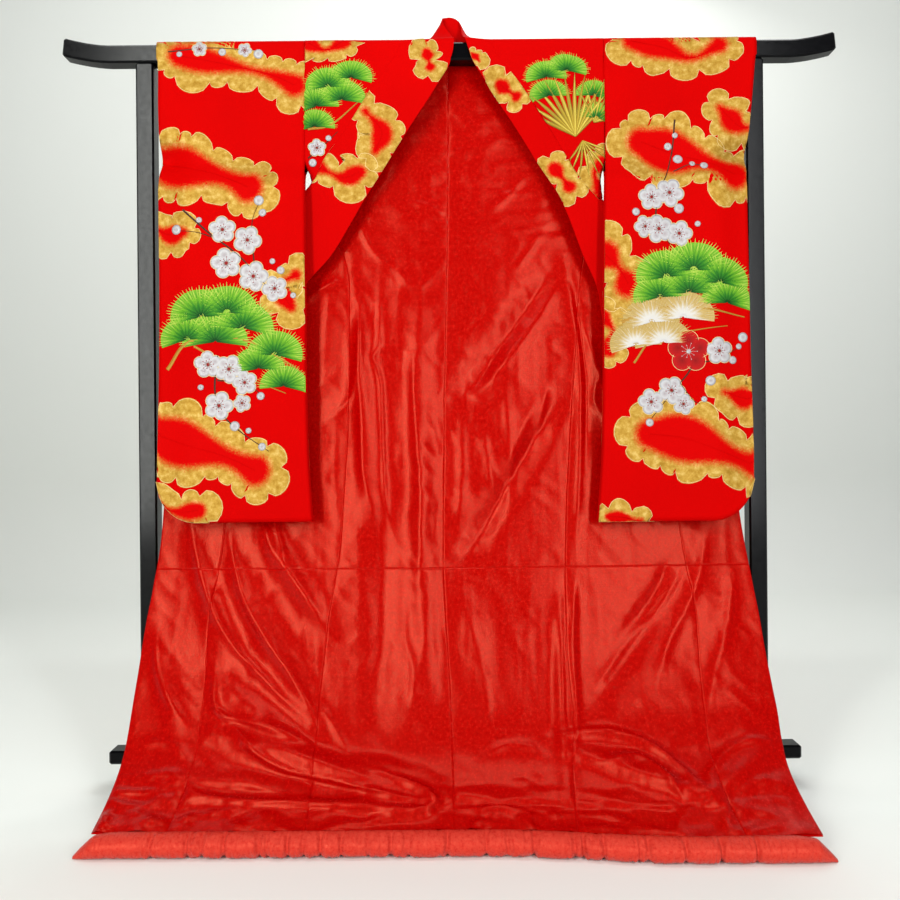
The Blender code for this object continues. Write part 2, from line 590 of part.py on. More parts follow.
def front_panels(side, tag, outer, lining):
    shoulder = [row["h"] for row in reversed(OVER_BAR)]
    opened = [h for h in UPPER_ROWS if h <= OPENING_BOTTOM]

    def rows_for(first, columns, levels, gap=SEAM_GAP):
        rows = []
        for h in levels:
            low, high = front_limits(side, h)
            rows += panel_rows(side, first, columns, [h], low, high, gap)
        return rows

    heights = shoulder + FRONT_ROWS + opened[:-1] + LOWER_ROWS
    wall("front_" + tag, rows_for(1, FRONT_COLUMNS, heights[:-1] + [SHEET_END + SEAM_GAP]),
         OUTER_FACE, OUTER_BACK, outer)
    wall("lining_front_upper_" + tag, rows_for(1, FRONT_COLUMNS, trimmed(opened)),
         LINING_FACE, LINING_BACK, lining)
    wall("lining_front_lower_" + tag, rows_for(1, FRONT_COLUMNS, trimmed(LOWER_ROWS)),
         LINING_FACE, LINING_BACK, lining)
    okumi_rows = [OKUMI_START] + opened[:-1] + LOWER_ROWS
    wall("okumi_" + tag, rows_for(2, OKUMI_COLUMNS, okumi_rows[:-1] + [SHEET_END + SEAM_GAP]),
         OUTER_FACE, OUTER_BACK, outer)
    wall("lining_okumi_upper_" + tag, rows_for(2, OKUMI_COLUMNS, trimmed(opened)),
         LINING_FACE, LINING_BACK, lining)
    wall("lining_okumi_lower_" + tag, rows_for(2, OKUMI_COLUMNS, trimmed(LOWER_ROWS)),
         LINING_FACE, LINING_BACK, lining)
    band = [shoulder[0] - SEAM_GAP] + shoulder[1:] + FRONT_ROWS
    band += [h for h in opened if h > COLLAR_END] + [COLLAR_END]
    wall("collar_" + tag, rows_for(3, COLLAR_COLUMNS, band, COLLAR_GAP), LINING_FACE, OUTER_BACK, outer)


def nape_panel(outer):
    """The collar's middle length, standing up behind the bar."""
    rows = []
    last = NAPE_STEPS[-1]

    def section(place, u):
        seam = Vector((read(NAPE, place, "seam"), PROFILE[0]["y"], NECKLINE + CONTACT_GAP))
        free = Vector([read(NAPE, place, axis) for axis in "xyz"])
        return seam.lerp(free, u)

    for step in NAPE_STEPS:
        place = min(max(step, NAPE_END_INSET), last - NAPE_END_INSET)
        row = []
        for u in COLLAR_COLUMNS:
            along = section(min(place + NORMAL_STEP, last), u) - section(max(place - NORMAL_STEP, 0), u)
            across = section(place, 0.0) - section(place, 1.0)
            # At its seam the band stands straight up from the back's top edge
            normal = across.cross(along).normalized() if u > 0 else Vector((0, -1, 0))
            row.append((section(place, u), normal))
        rows.append(row)
    wall("collar_neck", rows, LINING_FACE, OUTER_BACK, outer)


def sleeve_ring(side, u):
    """One turn round the sleeve at a part u of its width: up the front, over the bar, down the back."""
    table = SLEEVES[side]
    inner = read(table, SLEEVE_MIDDLE, "inner")
    outer = read(table, SLEEVE_MIDDLE, "outer")
    x = mix(inner, outer, u)
    bottom = table[-1]["h"]
    into_corner = max(x - (outer - SLEEVE_CORNER), 0.0) / SLEEVE_CORNER
    bottom += SLEEVE_CORNER * (1 - math.sqrt(max(1 - into_corner ** 2, 0.0)))
    closing = smooth((u - SLEEVE_CLOSING_START) / (1 - SLEEVE_CLOSING_START))
    cuff = read(table, NECKLINE, "outer")

    def point(h, front):
        depth = read(table, h, "front" if front else "back")
        middle = (read(table, h, "front") + read(table, h, "back")) / 2
        sewn = closing * (1 - smooth((h - CUFF_BOTTOM + SLEEVE_SEWN_MARGIN) / SLEEVE_SEWN_EASE))
        half = SLEEVE_EDGE_GAP / 2 * (-1 if front else 1)
        edge = read(table, h, "outer")
        if not front:
            edge = min(edge, SLEEVE_CUFF_BACK_X)
        place = mix(read(table, h, "inner"), edge, u)
        return Vector((side * place, mix(depth, middle + half, sewn), h))

    levels = [mix(bottom, SHOULDER_START, part) for part in SLEEVE_FRACTIONS]
    ring = [point(h, True) for h in levels]
    for row in OVER_BAR:
        edge = cuff if row["y"] <= 0 else min(cuff, SLEEVE_CUFF_BACK_X)
        ring.append(Vector((side * mix(table[0]["inner"], edge, u), row["y"], row["z"])))
    ring += [point(h, False) for h in reversed(levels)]
    middle = (ring[0] + ring[-1]) / 2
    ring.append(middle - Vector((0, 0, SLEEVE_HEM_DROP)))
    return ring


def sleeve(side, tag, look):
    """A flat hanging bag round the bar, open at the cuff and along its inner edge."""
    rings = [sleeve_ring(side, u) for u in SLEEVE_COLUMNS]
    count = len(rings[0])
    normals = []
    for i, ring in enumerate(rings):
        row = []
        for k, here in enumerate(ring):
            around = ring[(k + 1) % count] - ring[k - 1]
            across = rings[min(i + 1, len(rings) - 1)][k] - rings[max(i - 1, 0)][k]
            # Outward, because the ring runs up its front
            row.append((across.cross(around) * side).normalized())
        normals.append(row)
    points = []
    for offset in (OUTER_FACE, OUTER_BACK):
        for ring, row in zip(rings, normals):
            points += [here - normal * offset for here, normal in zip(ring, row)]
    size = len(rings) * count
    faces = []
    for i in range(len(rings) - 1):
        for k in range(count):
            a = i * count + k
            b = i * count + (k + 1) % count
            faces.append((a, b, b + count))
            faces.append((a, b + count, a + count))
            faces.append((size + a, size + b + count, size + b))
            faces.append((size + a, size + a + count, size + b + count))
    for i in (0, len(rings) - 1):
        for k in range(count):
            a = i * count + k
            b = i * count + (k + 1) % count
            faces.append((a, size + a, size + b, b))
    return mesh_object("sleeve_" + tag, points, faces, look)


def roll_section(part):
    """The roll's place and half thickness at a part of its length, pinched where a stitch holds it."""
    first = HEM_ROLL[0]["x"]
    last = HEM_ROLL[-1]["x"]
    # Steps come closer together towards the tips
    x = mix(first, last, part - ROLL_CROWDING * math.sin(2 * math.pi * part))
    half = read(HEM_ROLL, x, "half")
    for tuft in TUFTS:
        half -= TUFT_DEPTH * math.exp(-((x - tuft) / TUFT_HALF) ** 2)
    behind = math.sqrt(ROLL_HALF ** 2 - (SHEET_END - ROLL_FLATTENING * ROLL_HALF) ** 2)
    y = drape_y(x, SHEET_END) - behind * ROLL_WIDENING - ROLL_GAP - read(HEM_ROLL, x, "forward")
    return x, y, half


def roll_ring(part):
    x, y, half = roll_section(part)
    floor = -half * ROLL_FLATTENING
    ring = []
    for k in range(ROLL_SIDES):
        turn = 2 * math.pi * (k + 0.5) / ROLL_SIDES
        rise = max(half * math.sin(turn), floor)
        ring.append(Vector((x, y + half * ROLL_WIDENING * math.cos(turn), rise - floor)))
    return ring


def hem_reach():
    """How far the roll's front lies from the bar's middle plane."""
    return max(-point.y for step in range(ROLL_STEPS + 1) for point in roll_ring(step / ROLL_STEPS))


def hem_roll(look):
    """The padded roll along the hem, pinched by its stitches and coming to a point at each end."""
    points = []
    for step in range(ROLL_STEPS + 1):
        points += roll_ring(step / ROLL_STEPS)
    count = ROLL_SIDES
    faces = []
    for i in range(ROLL_STEPS):
        for k in range(count):
            a = i * count + k
            b = i * count + (k + 1) % count
            faces.append((a, b, b + count, a + count))
    faces.append(tuple(range(count)))
    faces.append(tuple(ROLL_STEPS * count + k for k in range(count)))
    return mesh_object("hem_roll", points, faces, look)


def beam(name, low, high, look):
    """A straight lacquered bar between two corners, with softened edges."""
    made = mesh_object(name, [], [], look)
    builder = bmesh.new()
    bmesh.ops.create_cube(builder, size=1.0)
    for vertex in builder.verts:
        for axis in range(3):
            middle = (low[axis] + high[axis]) / 2
            vertex.co[axis] = middle + vertex.co[axis] * (high[axis] - low[axis])
    builder.to_mesh(made.data)
    builder.free()
    bevel = made.modifiers.new("edges", "BEVEL")
    bevel.width = EDGE_ROUND
    bevel.segments = 1
    return made


def top_bar(look):
    """The rail, whose two ends turn up."""
    half = BAR_THICK / 2
    stations = []
    for step in range(BAR_TIP_STEPS + 1):
        stations.append(-BAR_HALF_LENGTH + BAR_TIP_LENGTH * step / BAR_TIP_STEPS)
    stations += [-place for place in reversed(stations)]
    points = []
    for x in stations:
        part = max(abs(x) - (BAR_HALF_LENGTH - BAR_TIP_LENGTH), 0.0) / BAR_TIP_LENGTH
        lift = BAR_TIP_RISE * part ** BAR_TIP_CURVE
        lean = BAR_TIP_LEAN * part
        for y, z in ((-half, -half), (half, -half), (half, half), (-half, half)):
            place = x - math.copysign(lean, x) * z / half
            points.append(Vector((place, y, BAR_TOP - half + z + lift)))
    faces = [(0, 1, 2, 3), tuple(len(points) - 4 + k for k in range(4))]
    for i in range(len(stations) - 1):
        for k in range(4):
            a = i * 4 + k
            b = i * 4 + (k + 1) % 4
            faces.append((a, b, b + 4, a + 4))
    made = mesh_object("stand_top_bar", points, faces, look)
    bevel = made.modifiers.new("edges", "BEVEL")
    bevel.width = EDGE_ROUND
    bevel.segments = 1
    bevel.limit_method = "ANGLE"
    bevel.angle_limit = math.radians(SHARP_ANGLE)
    return made


def stand(look):
    top_bar(look)
    beam_top = BEAM_BOTTOM + BEAM_HEIGHT
    bar_bottom = BAR_TOP - BAR_THICK
    half = UPRIGHT_THICK / 2
    for side, tag in ((-1, "left"), (1, "right")):
        x1 = side * UPRIGHT_X - half
        x2 = side * UPRIGHT_X + half
        beam("stand_upright_" + tag, (x1, -half, beam_top + CONTACT_GAP),
             (x2, half, bar_bottom - CONTACT_GAP), look)
        beam("stand_foot_" + tag, (x1, -FOOT_HALF_LENGTH, 0.0), (x2, FOOT_HALF_LENGTH, FOOT_HEIGHT), look)
    beam("stand_cross_beam", (-BEAM_HALF_LENGTH, -BEAM_DEPTH / 2, BEAM_BOTTOM),
         (BEAM_HALF_LENGTH, BEAM_DEPTH / 2, beam_top), look)


def main():
    remove_old_objects()
    outer = material("outer_cloth", (0.68, 0.0, 0.003), 0.6)
    lining = material("lining_satin", (0.58, 0.012, 0.01), 0.35)
    padding = material("hem_roll_satin", (0.62, 0.045, 0.025), 0.4)
    lacquer = material("black_lacquer", (0.006, 0.006, 0.008), 0.12)
    stand(lacquer)
    for side, tag in ((-1, "left"), (1, "right")):
        back_panels(side, tag, outer, lining)
        front_panels(side, tag, outer, lining)
        sleeve(side, tag, outer)
    nape_panel(outer)
    hem_roll(padding)
    # The origin lies midway between the hem in front and the feet behind
    shift = (hem_reach() - FOOT_HALF_LENGTH) / 2
    for made in bpy.data.objects:
        made.location.y = shift


main()
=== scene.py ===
# The looks of an uchikake wedding kimono hung open on a black lacquered stand.
# Metres, +Z up. The garment is one drape, and each panel is the stretch between two seams.
import math
from functools import partial

import bpy
import numpy as np
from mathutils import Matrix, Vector


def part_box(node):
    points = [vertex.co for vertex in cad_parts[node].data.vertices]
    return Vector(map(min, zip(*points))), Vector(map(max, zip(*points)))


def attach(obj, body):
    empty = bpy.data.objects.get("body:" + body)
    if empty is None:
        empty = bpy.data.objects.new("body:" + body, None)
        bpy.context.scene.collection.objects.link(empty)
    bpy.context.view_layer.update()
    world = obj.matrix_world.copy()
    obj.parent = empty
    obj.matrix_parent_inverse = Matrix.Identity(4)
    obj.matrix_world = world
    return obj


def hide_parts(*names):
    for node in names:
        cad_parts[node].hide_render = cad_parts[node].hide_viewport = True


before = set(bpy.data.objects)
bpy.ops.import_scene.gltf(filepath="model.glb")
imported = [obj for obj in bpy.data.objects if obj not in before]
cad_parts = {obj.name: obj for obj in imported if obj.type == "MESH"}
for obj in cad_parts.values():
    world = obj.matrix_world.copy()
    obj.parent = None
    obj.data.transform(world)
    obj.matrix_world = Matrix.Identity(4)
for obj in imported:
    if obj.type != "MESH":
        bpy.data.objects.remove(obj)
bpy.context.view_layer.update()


def numbers(columns, *rows):
    """A table of rows under named columns."""
    return [dict(zip(columns.split(), row)) for row in rows]


# The cloth: the visible lining face is the drape, and the outer cloth lies behind it
OUTER_FACE = 0.0014
OUTER_THICK = 0.0013
COLLAR_THICK = 0.0027

# Heights along the garment
NECKLINE = 1.640
SHOULDER_START = 1.620
ARMHOLE_BOTTOM = 1.394
OPENING_BOTTOM = 1.260
OKUMI_TOP = 1.300
COLLAR_END = 0.700
LINING_JOIN = 0.490
SHEET_END = 0.0365
CUFF_BOTTOM = 1.430
BAR_END = 1.725

# The drape was worked out about the bar's middle plane, which the frame places
SHIFT_Y = float(sum(corner[1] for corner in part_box("stand_top_bar")) / 2)

# The smooth hang of the back at its middle: height and depth
PROFILE = numbers(
    "h y",
    (1.64, 0.0265), (1.5, 0.02), (1.3, 0.008), (1.1, -0.012), (0.9, -0.035), (0.7, -0.062),
    (0.55, -0.084), (0.42, -0.108), (0.31, -0.14), (0.23, -0.176), (0.155, -0.222), (0.098, -0.275),
    (0.06, -0.322), (0.0365, -0.366),
)

# How far back its two sides hang, and how far forward the right side swings
EDGE_SETBACK = numbers(
    "h back skew",
    (1.64, 0.0, 0.0), (1.2, 0.003, 0.0), (0.7, 0.03, 0.0), (0.4, 0.03, 0.002), (0.155, 0.024, 0.018),
    (0.0365, 0.004, 0.04),
)

# The centre back seam: height and distance right of the middle
CENTRE_SEAM = numbers(
    "h x",
    (1.64, -0.003), (1.3, -0.006), (0.9, -0.016), (0.5, -0.022), (0.2, -0.008), (0.0365, -0.004),
)

# Seams of each half as distances from the middle: side seam, outer fold, collar seam and free edge,
# with the depth of what is turned back in front
LEFT_SEAMS = numbers(
    "h side turn seam free front",
    (1.725, 0.322, 0.322, 0.07, 0.015, 0.0265), (1.62, 0.322, 0.322, 0.124, -0.003, -0.0245),
    (1.56, 0.322, 0.322, 0.166, 0.027, -0.032), (1.459, 0.322, 0.322, 0.229, 0.093, -0.034),
    (1.394, 0.322, 0.322, 0.275, 0.134, -0.034), (1.35, 0.306, 0.306, 0.296, 0.162, -0.034),
    (1.315, 0.297, 0.331, 0.331, 0.185, -0.034), (1.26, 0.288, 0.4, 0.4, 0.217, -0.034),
    (1.18, 0.24, 0.43, 0.43, 0.266, -0.035), (1.11, 0.229, 0.45, 0.45, 0.327, -0.036),
    (0.9, 0.23, 0.552, 0.552, 0.43, -0.046), (0.7, 0.236, 0.628, 0.628, 0.52, -0.062),
    (0.655, 0.239, 0.638, 0.638, 0.638, -0.06), (0.54, 0.246, 0.645, 0.645, 0.645, -0.06),
    (0.45, 0.259, 0.657, 0.657, 0.657, -0.06), (0.375, 0.269, 0.668, 0.668, 0.668, -0.06),
    (0.225, 0.281, 0.675, 0.675, 0.675, -0.06), (0.12, 0.282, 0.673, 0.673, 0.673, -0.06),
    (0.0365, 0.282, 0.681, 0.681, 0.681, -0.06),
)
RIGHT_SEAMS = numbers(
    "h side turn seam free front",
    (1.725, 0.344, 0.344, 0.065, 0.025, 0.0265), (1.62, 0.344, 0.344, 0.112, 0.05, -0.0245),
    (1.56, 0.344, 0.344, 0.155, 0.088, -0.032), (1.459, 0.344, 0.344, 0.219, 0.154, -0.034),
    (1.394, 0.344, 0.344, 0.257, 0.193, -0.034), (1.35, 0.334, 0.334, 0.283, 0.218, -0.034),
    (1.3, 0.324, 0.34, 0.325, 0.245, -0.034), (1.26, 0.318, 0.395, 0.38, 0.262, -0.034),
    (1.18, 0.3, 0.435, 0.43, 0.291, -0.035), (1.1, 0.288, 0.465, 0.465, 0.324, -0.036),
    (0.987, 0.278, 0.515, 0.515, 0.343, -0.041), (0.9, 0.27, 0.56, 0.56, 0.42, -0.046),
    (0.7, 0.254, 0.622, 0.622, 0.51, -0.062), (0.655, 0.25, 0.628, 0.628, 0.628, -0.06),
    (0.56, 0.245, 0.637, 0.637, 0.637, -0.06), (0.45, 0.24, 0.652, 0.652, 0.652, -0.06),
    (0.36, 0.238, 0.662, 0.662, 0.662, -0.06), (0.215, 0.24, 0.666, 0.666, 0.666, -0.06),
    (0.106, 0.23, 0.655, 0.655, 0.655, -0.06), (0.0365, 0.224, 0.667, 0.667, 0.667, -0.06),
)
SEAMS = {-1: LEFT_SEAMS, 1: RIGHT_SEAMS}
SIDES = [(-1, "left"), (1, "right")]

# The outer fold: its radius and the width over which it forms, and how far back the right free edge hangs
TURN_RADIUS = 0.007
FOLD_EASE = 0.03
RIGHT_FREE_SETBACK = 0.022
ARMHOLE_TOP = 1.6

# The okumi from its slanted top down to the hem
OKUMI_WIDTH = numbers(
    "h width",
    (1.3, 0.006), (0.9, 0.085), (0.7, 0.14), (0.4, 0.14), (0.2, 0.152), (0.0365, 0.14),
)

# The shoulder over the bar: a running height, with its depth and its true height
OVER_BAR = numbers(
    "h y z",
    (1.62, -0.0245, 1.62), (1.65, -0.0245, 1.65), (1.664, -0.018, 1.663), (1.682, 0.0, 1.665),
    (1.7, 0.018, 1.663), (1.715, 0.025, 1.65), (1.725, 0.0265, 1.6403),
)

# The collar over the bar: its seam, and the place of its free edge
LEFT_NECK = numbers(
    "h seam x y z",
    (1.62, -0.124, 0.003, -0.0245, 1.62), (1.65, -0.11, 0.009, -0.024, 1.642),
    (1.664, -0.107, 0.011, -0.0215, 1.664), (1.682, -0.104, 0.008, -0.006, 1.674),
    (1.7, -0.096, 0.0, 0.008, 1.692), (1.715, -0.084, -0.009, 0.018, 1.71),
    (1.725, -0.07, -0.014, 0.028, 1.726),
)
RIGHT_NECK = numbers(
    "h seam x y z",
    (1.62, 0.112, 0.05, -0.024, 1.62), (1.65, 0.096, 0.043, -0.0235, 1.642),
    (1.664, 0.093, 0.036, -0.0215, 1.664), (1.682, 0.09, 0.03, -0.005, 1.677),
    (1.7, 0.084, 0.027, 0.01, 1.692), (1.715, 0.075, 0.0265, 0.022, 1.706),
    (1.725, 0.065, 0.025, 0.034, 1.722),
)
NECK = {-1: LEFT_NECK, 1: RIGHT_NECK}

# The collar's middle length from left to right: its seam, and the place of its free edge
NAPE_SEAM_Y = 0.0265
NAPE_SEAM_LIFT = 0.0003
NAPE = numbers(
    "h seam x y z",
    (0.0, -0.07, -0.014, 0.028, 1.726), (1.0, -0.035, -0.012, 0.04, 1.741),
    (2.0, 0.002, 0.001, 0.048, 1.7464), (3.0, 0.035, 0.016, 0.045, 1.741),
    (4.0, 0.065, 0.025, 0.034, 1.722),
)

# About half the width of the opened garment
HALF_SPREAD = 0.65

# Large folds, as soft ridges or troughs from one place to another: x, height, half width and rise
FOLDS = numbers(
    "x1 h1 x2 h2 half rise",
    (-0.5, 0.52, -0.28, 0.17, 0.03, 0.012), (-0.42, 0.58, -0.27, 0.36, 0.026, 0.011),
    (-0.57, 0.56, -0.46, 0.22, 0.03, 0.01), (-0.64, 0.34, -0.56, 0.15, 0.026, 0.01),
    (-0.5, 0.26, -0.29, 0.13, 0.026, 0.012), (-0.49, 0.17, -0.05, 0.075, 0.024, 0.02),
    (-0.55, 0.105, -0.05, 0.055, 0.018, 0.012), (-0.44, 0.12, -0.18, 0.085, 0.016, -0.008),
    (-0.2, 0.13, -0.06, 0.105, 0.018, 0.01), (-0.06, 0.06, 0.3, 0.055, 0.016, -0.008),
    (0.236, 0.42, 0.215, 0.07, 0.018, 0.014), (0.22, 0.145, 0.5, 0.08, 0.024, 0.015),
    (0.3, 0.125, 0.48, 0.075, 0.018, 0.01), (0.49, 0.085, 0.64, 0.145, 0.022, 0.012),
    (0.5, 0.48, 0.3, 0.24, 0.028, -0.01), (0.22, 1.13, 0.01, 0.86, 0.03, -0.012),
    (0.24, 0.86, 0.02, 0.5, 0.03, -0.012), (-0.2, 1.0, -0.18, 0.6, 0.024, 0.012),
    (-0.07, 1.05, -0.06, 0.25, 0.026, 0.01), (-0.15, 0.6, -0.16, 0.18, 0.028, -0.008),
)

FOLD_LEAN = 0.6

# Sharper creases of the lining, each a soft line through its places: x and height
CREASES = numbers(
    "half rise path",
    (0.008, 0.005, [(-0.212, 1.1), (-0.206, 1.0), (-0.222, 0.87), (-0.29, 0.8)]),
    (0.007, 0.0045, [(-0.205, 1.07), (-0.204, 0.9), (-0.196, 0.7), (-0.17, 0.6)]),
    (0.006, 0.0045, [(-0.163, 1.12), (-0.163, 0.99), (-0.18, 0.94), (-0.16, 0.9), (-0.15, 0.66),
        (-0.128, 0.55)]),
    (0.01, 0.005, [(-0.08, 1.0), (-0.085, 0.86), (-0.07, 0.66), (-0.074, 0.42)]),
    (0.007, -0.004, [(0.232, 1.16), (0.172, 1.064), (0.108, 0.975), (0.062, 0.905), (0.004, 0.85)]),
    (0.01, 0.005, [(0.245, 1.13), (0.192, 1.035), (0.124, 0.945), (0.06, 0.865)]),
    (0.007, -0.0035, [(0.232, 0.86), (0.184, 0.774), (0.132, 0.691), (0.093, 0.62), (0.057, 0.556),
        (0.013, 0.503)]),
    (0.012, 0.004, [(0.2, 0.88), (0.15, 0.78), (0.11, 0.69)]),
    (0.005, 0.0035, [(0.14, 1.145), (0.172, 1.185), (0.212, 1.245)]),
    (0.005, 0.003, [(0.085, 1.285), (0.125, 1.315), (0.168, 1.365)]),
    (0.005, 0.0028, [(-0.09, 1.305), (-0.045, 1.295), (-0.012, 1.27)]),
    (0.006, 0.003, [(-0.215, 1.28), (-0.18, 1.2), (-0.13, 1.155)]),
    (0.01, 0.0035, [(-0.13, 1.42), (-0.15, 1.36), (-0.205, 1.29)]),
    (0.008, 0.003, [(-0.13, 1.155), (-0.08, 1.11), (-0.035, 1.14)]),
    (0.012, 0.0045, [(0.02, 0.84), (0.022, 0.7), (0.012, 0.58)]),
    (0.01, 0.0045, [(0.068, 0.8), (0.082, 0.68), (0.095, 0.62)]),
    (0.012, 0.0045, [(0.118, 0.87), (0.125, 0.74), (0.118, 0.6)]),
    (0.006, 0.004, [(0.212, 0.89), (0.196, 0.82), (0.186, 0.78)]),
    (0.008, 0.0055, [(0.252, 1.18), (0.276, 1.03), (0.286, 0.88), (0.276, 0.68), (0.262, 0.5)]),
    (0.008, -0.006, [(0.268, 1.16), (0.288, 1.01), (0.3, 0.88), (0.29, 0.7)]),
    (0.009, 0.005, [(0.29, 1.04), (0.325, 0.92), (0.345, 0.83), (0.32, 0.76)]),
    (0.006, 0.004, [(0.335, 0.93), (0.315, 0.855), (0.345, 0.8)]),
    (0.007, 0.0055, [(-0.345, 1.07), (-0.27, 1.12), (-0.235, 1.11)]),
    (0.008, 0.0095, [(-0.585, 0.62), (-0.56, 0.52), (-0.515, 0.4), (-0.465, 0.325), (-0.42, 0.285),
        (-0.34, 0.22), (-0.285, 0.19)]),
    (0.007, 0.01, [(-0.49, 0.56), (-0.455, 0.44), (-0.405, 0.355), (-0.35, 0.285), (-0.285, 0.195)]),
    (0.009, 0.007, [(-0.425, 0.62), (-0.395, 0.535), (-0.355, 0.485), (-0.295, 0.4), (-0.272, 0.36)]),
    (0.007, 0.0045, [(-0.395, 0.62), (-0.38, 0.56), (-0.362, 0.5)]),
    (0.008, 0.006, [(-0.64, 0.365), (-0.628, 0.285), (-0.585, 0.215), (-0.545, 0.18)]),
    (0.008, 0.011, [(-0.51, 0.29), (-0.487, 0.205), (-0.415, 0.19), (-0.335, 0.165), (-0.29, 0.15)]),
    (0.006, 0.013, [(-0.48, 0.2), (-0.415, 0.15), (-0.345, 0.118), (-0.23, 0.098), (-0.13, 0.078),
        (-0.055, 0.066)]),
    (0.006, 0.013, [(-0.532, 0.118), (-0.528, 0.096), (-0.505, 0.078), (-0.442, 0.07), (-0.3, 0.068),
        (-0.17, 0.062), (-0.08, 0.056), (-0.04, 0.062), (-0.058, 0.08), (-0.13, 0.104), (-0.205, 0.122)]),
    (0.014, -0.014, [(-0.475, 0.086), (-0.4, 0.085), (-0.3, 0.082), (-0.18, 0.078)]),
    (0.007, 0.005, [(-0.04, 0.062), (0.06, 0.058), (0.15, 0.06), (0.25, 0.056)]),
    (0.006, 0.004, [(-0.28, 0.225), (-0.235, 0.165), (-0.205, 0.13)]),
    (0.006, 0.005, [(-0.64, 0.155), (-0.575, 0.15), (-0.53, 0.122)]),
    (0.006, 0.0045, [(-0.62, 0.098), (-0.565, 0.108), (-0.54, 0.092)]),
    (0.007, 0.011, [(0.19, 0.162), (0.3, 0.172), (0.385, 0.152), (0.442, 0.112), (0.49, 0.074)]),
    (0.007, 0.0095, [(0.287, 0.124), (0.36, 0.132), (0.402, 0.106), (0.44, 0.066)]),
    (0.009, 0.007, [(0.472, 0.09), (0.525, 0.128), (0.58, 0.15), (0.645, 0.15)]),
    (0.007, 0.005, [(0.53, 0.075), (0.585, 0.095), (0.65, 0.088)]),
    (0.01, 0.006, [(0.505, 0.5), (0.44, 0.4), (0.372, 0.338), (0.314, 0.272), (0.28, 0.235)]),
    (0.008, -0.005, [(0.475, 0.51), (0.42, 0.415), (0.35, 0.348)]),
    (0.009, 0.005, [(0.56, 0.58), (0.525, 0.45), (0.455, 0.33), (0.415, 0.24)]),
    (0.01, 0.005, [(0.612, 0.48), (0.585, 0.36), (0.54, 0.26), (0.52, 0.19)]),
    (0.007, 0.006, [(0.262, 0.48), (0.25, 0.34), (0.246, 0.2), (0.236, 0.12)]),
    (0.007, -0.006, [(0.238, 0.47), (0.232, 0.3), (0.228, 0.13)]),
    (0.014, 0.004, [(0.03, 0.4), (0.055, 0.3), (0.07, 0.2)]),
    (0.01, 0.0035, [(-0.11, 0.36), (-0.085, 0.28), (-0.09, 0.2)]),
    (0.008, 0.004, [(0.06, 0.135), (0.11, 0.15), (0.175, 0.14)]),
)

# Soft undulations of the sleeves: distance from the inner edge and height
SLEEVE_FOLDS = numbers(
    "x1 h1 x2 h2 half rise",
    (0.05, 1.6, 0.07, 1.05, 0.03, 0.004), (0.17, 1.55, 0.2, 0.75, 0.045, -0.004),
    (0.27, 1.45, 0.25, 0.85, 0.035, 0.0045), (0.03, 0.98, 0.09, 0.66, 0.028, 0.004),
    (0.13, 1.42, 0.3, 1.3, 0.022, 0.0028), (0.02, 1.34, 0.16, 1.24, 0.018, -0.0022),
    (0.22, 0.8, 0.28, 0.66, 0.03, 0.003),
)

# Sleeves: inner and outer edge as distances from the middle, and depth of the front and back layer
LEFT_SLEEVE = numbers(
    "h inner outer front back",
    (1.665, 0.3226, 0.656, -0.0245, 0.0265), (1.62, 0.3226, 0.651, -0.0245, 0.0258),
    (1.5, 0.3226, 0.648, -0.034, 0.02), (1.394, 0.3226, 0.645, -0.0345, 0.014),
    (1.36, 0.322, 0.644, -0.048, -0.029), (1.33, 0.321, 0.643, -0.062, -0.044),
    (1.1, 0.32, 0.64, -0.07, -0.052), (0.9, 0.318, 0.639, -0.082, -0.064),
    (0.75, 0.313, 0.638, -0.099, -0.081), (0.597, 0.302, 0.636, -0.115, -0.097),
)
RIGHT_SLEEVE = numbers(
    "h inner outer front back",
    (1.665, 0.3446, 0.688, -0.0245, 0.0265), (1.62, 0.3446, 0.684, -0.0245, 0.0258),
    (1.5, 0.3446, 0.67, -0.034, 0.02), (1.394, 0.3446, 0.659, -0.0345, 0.014),
    (1.36, 0.342, 0.656, -0.048, -0.029), (1.33, 0.34, 0.652, -0.062, -0.044),
    (1.1, 0.334, 0.653, -0.07, -0.052), (0.9, 0.33, 0.652, -0.082, -0.064),
    (0.75, 0.324, 0.65, -0.099, -0.081), (0.592, 0.31, 0.642, -0.115, -0.097),
)
SLEEVES = {-1: LEFT_SLEEVE, 1: RIGHT_SLEEVE}
SLEEVE_CORNER = 0.085
SLEEVE_CUFF_BACK_X = 0.655
SLEEVE_EDGE_GAP = 0.0012
SLEEVE_MIDDLE = 0.7
SLEEVE_LOWEST = 0.55
SLEEVE_BAR_LEVEL = 1.65
SLEEVE_WIDTH = 0.33
SLEEVE_LENGTH = 1.03

# The roll's ends: place, how far it moves forward, and half its height
HEM_ROLL = numbers(
    "x forward half",
    (-0.705, 0.008, 0.003), (-0.69, 0.005, 0.011), (-0.665, 0.001, 0.0205), (-0.62, 0.0, 0.0225),
    (0.6, 0.0, 0.0225), (0.645, 0.001, 0.0205), (0.668, 0.005, 0.011), (0.682, 0.008, 0.003),
)

# The roll: half its height, its width to its height, its gap to the sheet, its flatness, and its grid
ROLL_HALF = 0.0225
ROLL_WIDENING = 1.12
ROLL_GAP = -0.0004
ROLL_FLATTENING = 0.93
ROLL_SIDES = 40
ROLL_STEPS = 860
ROLL_END_CLOSENESS = 0.035
ROLL_UV_RADIUS = 0.022

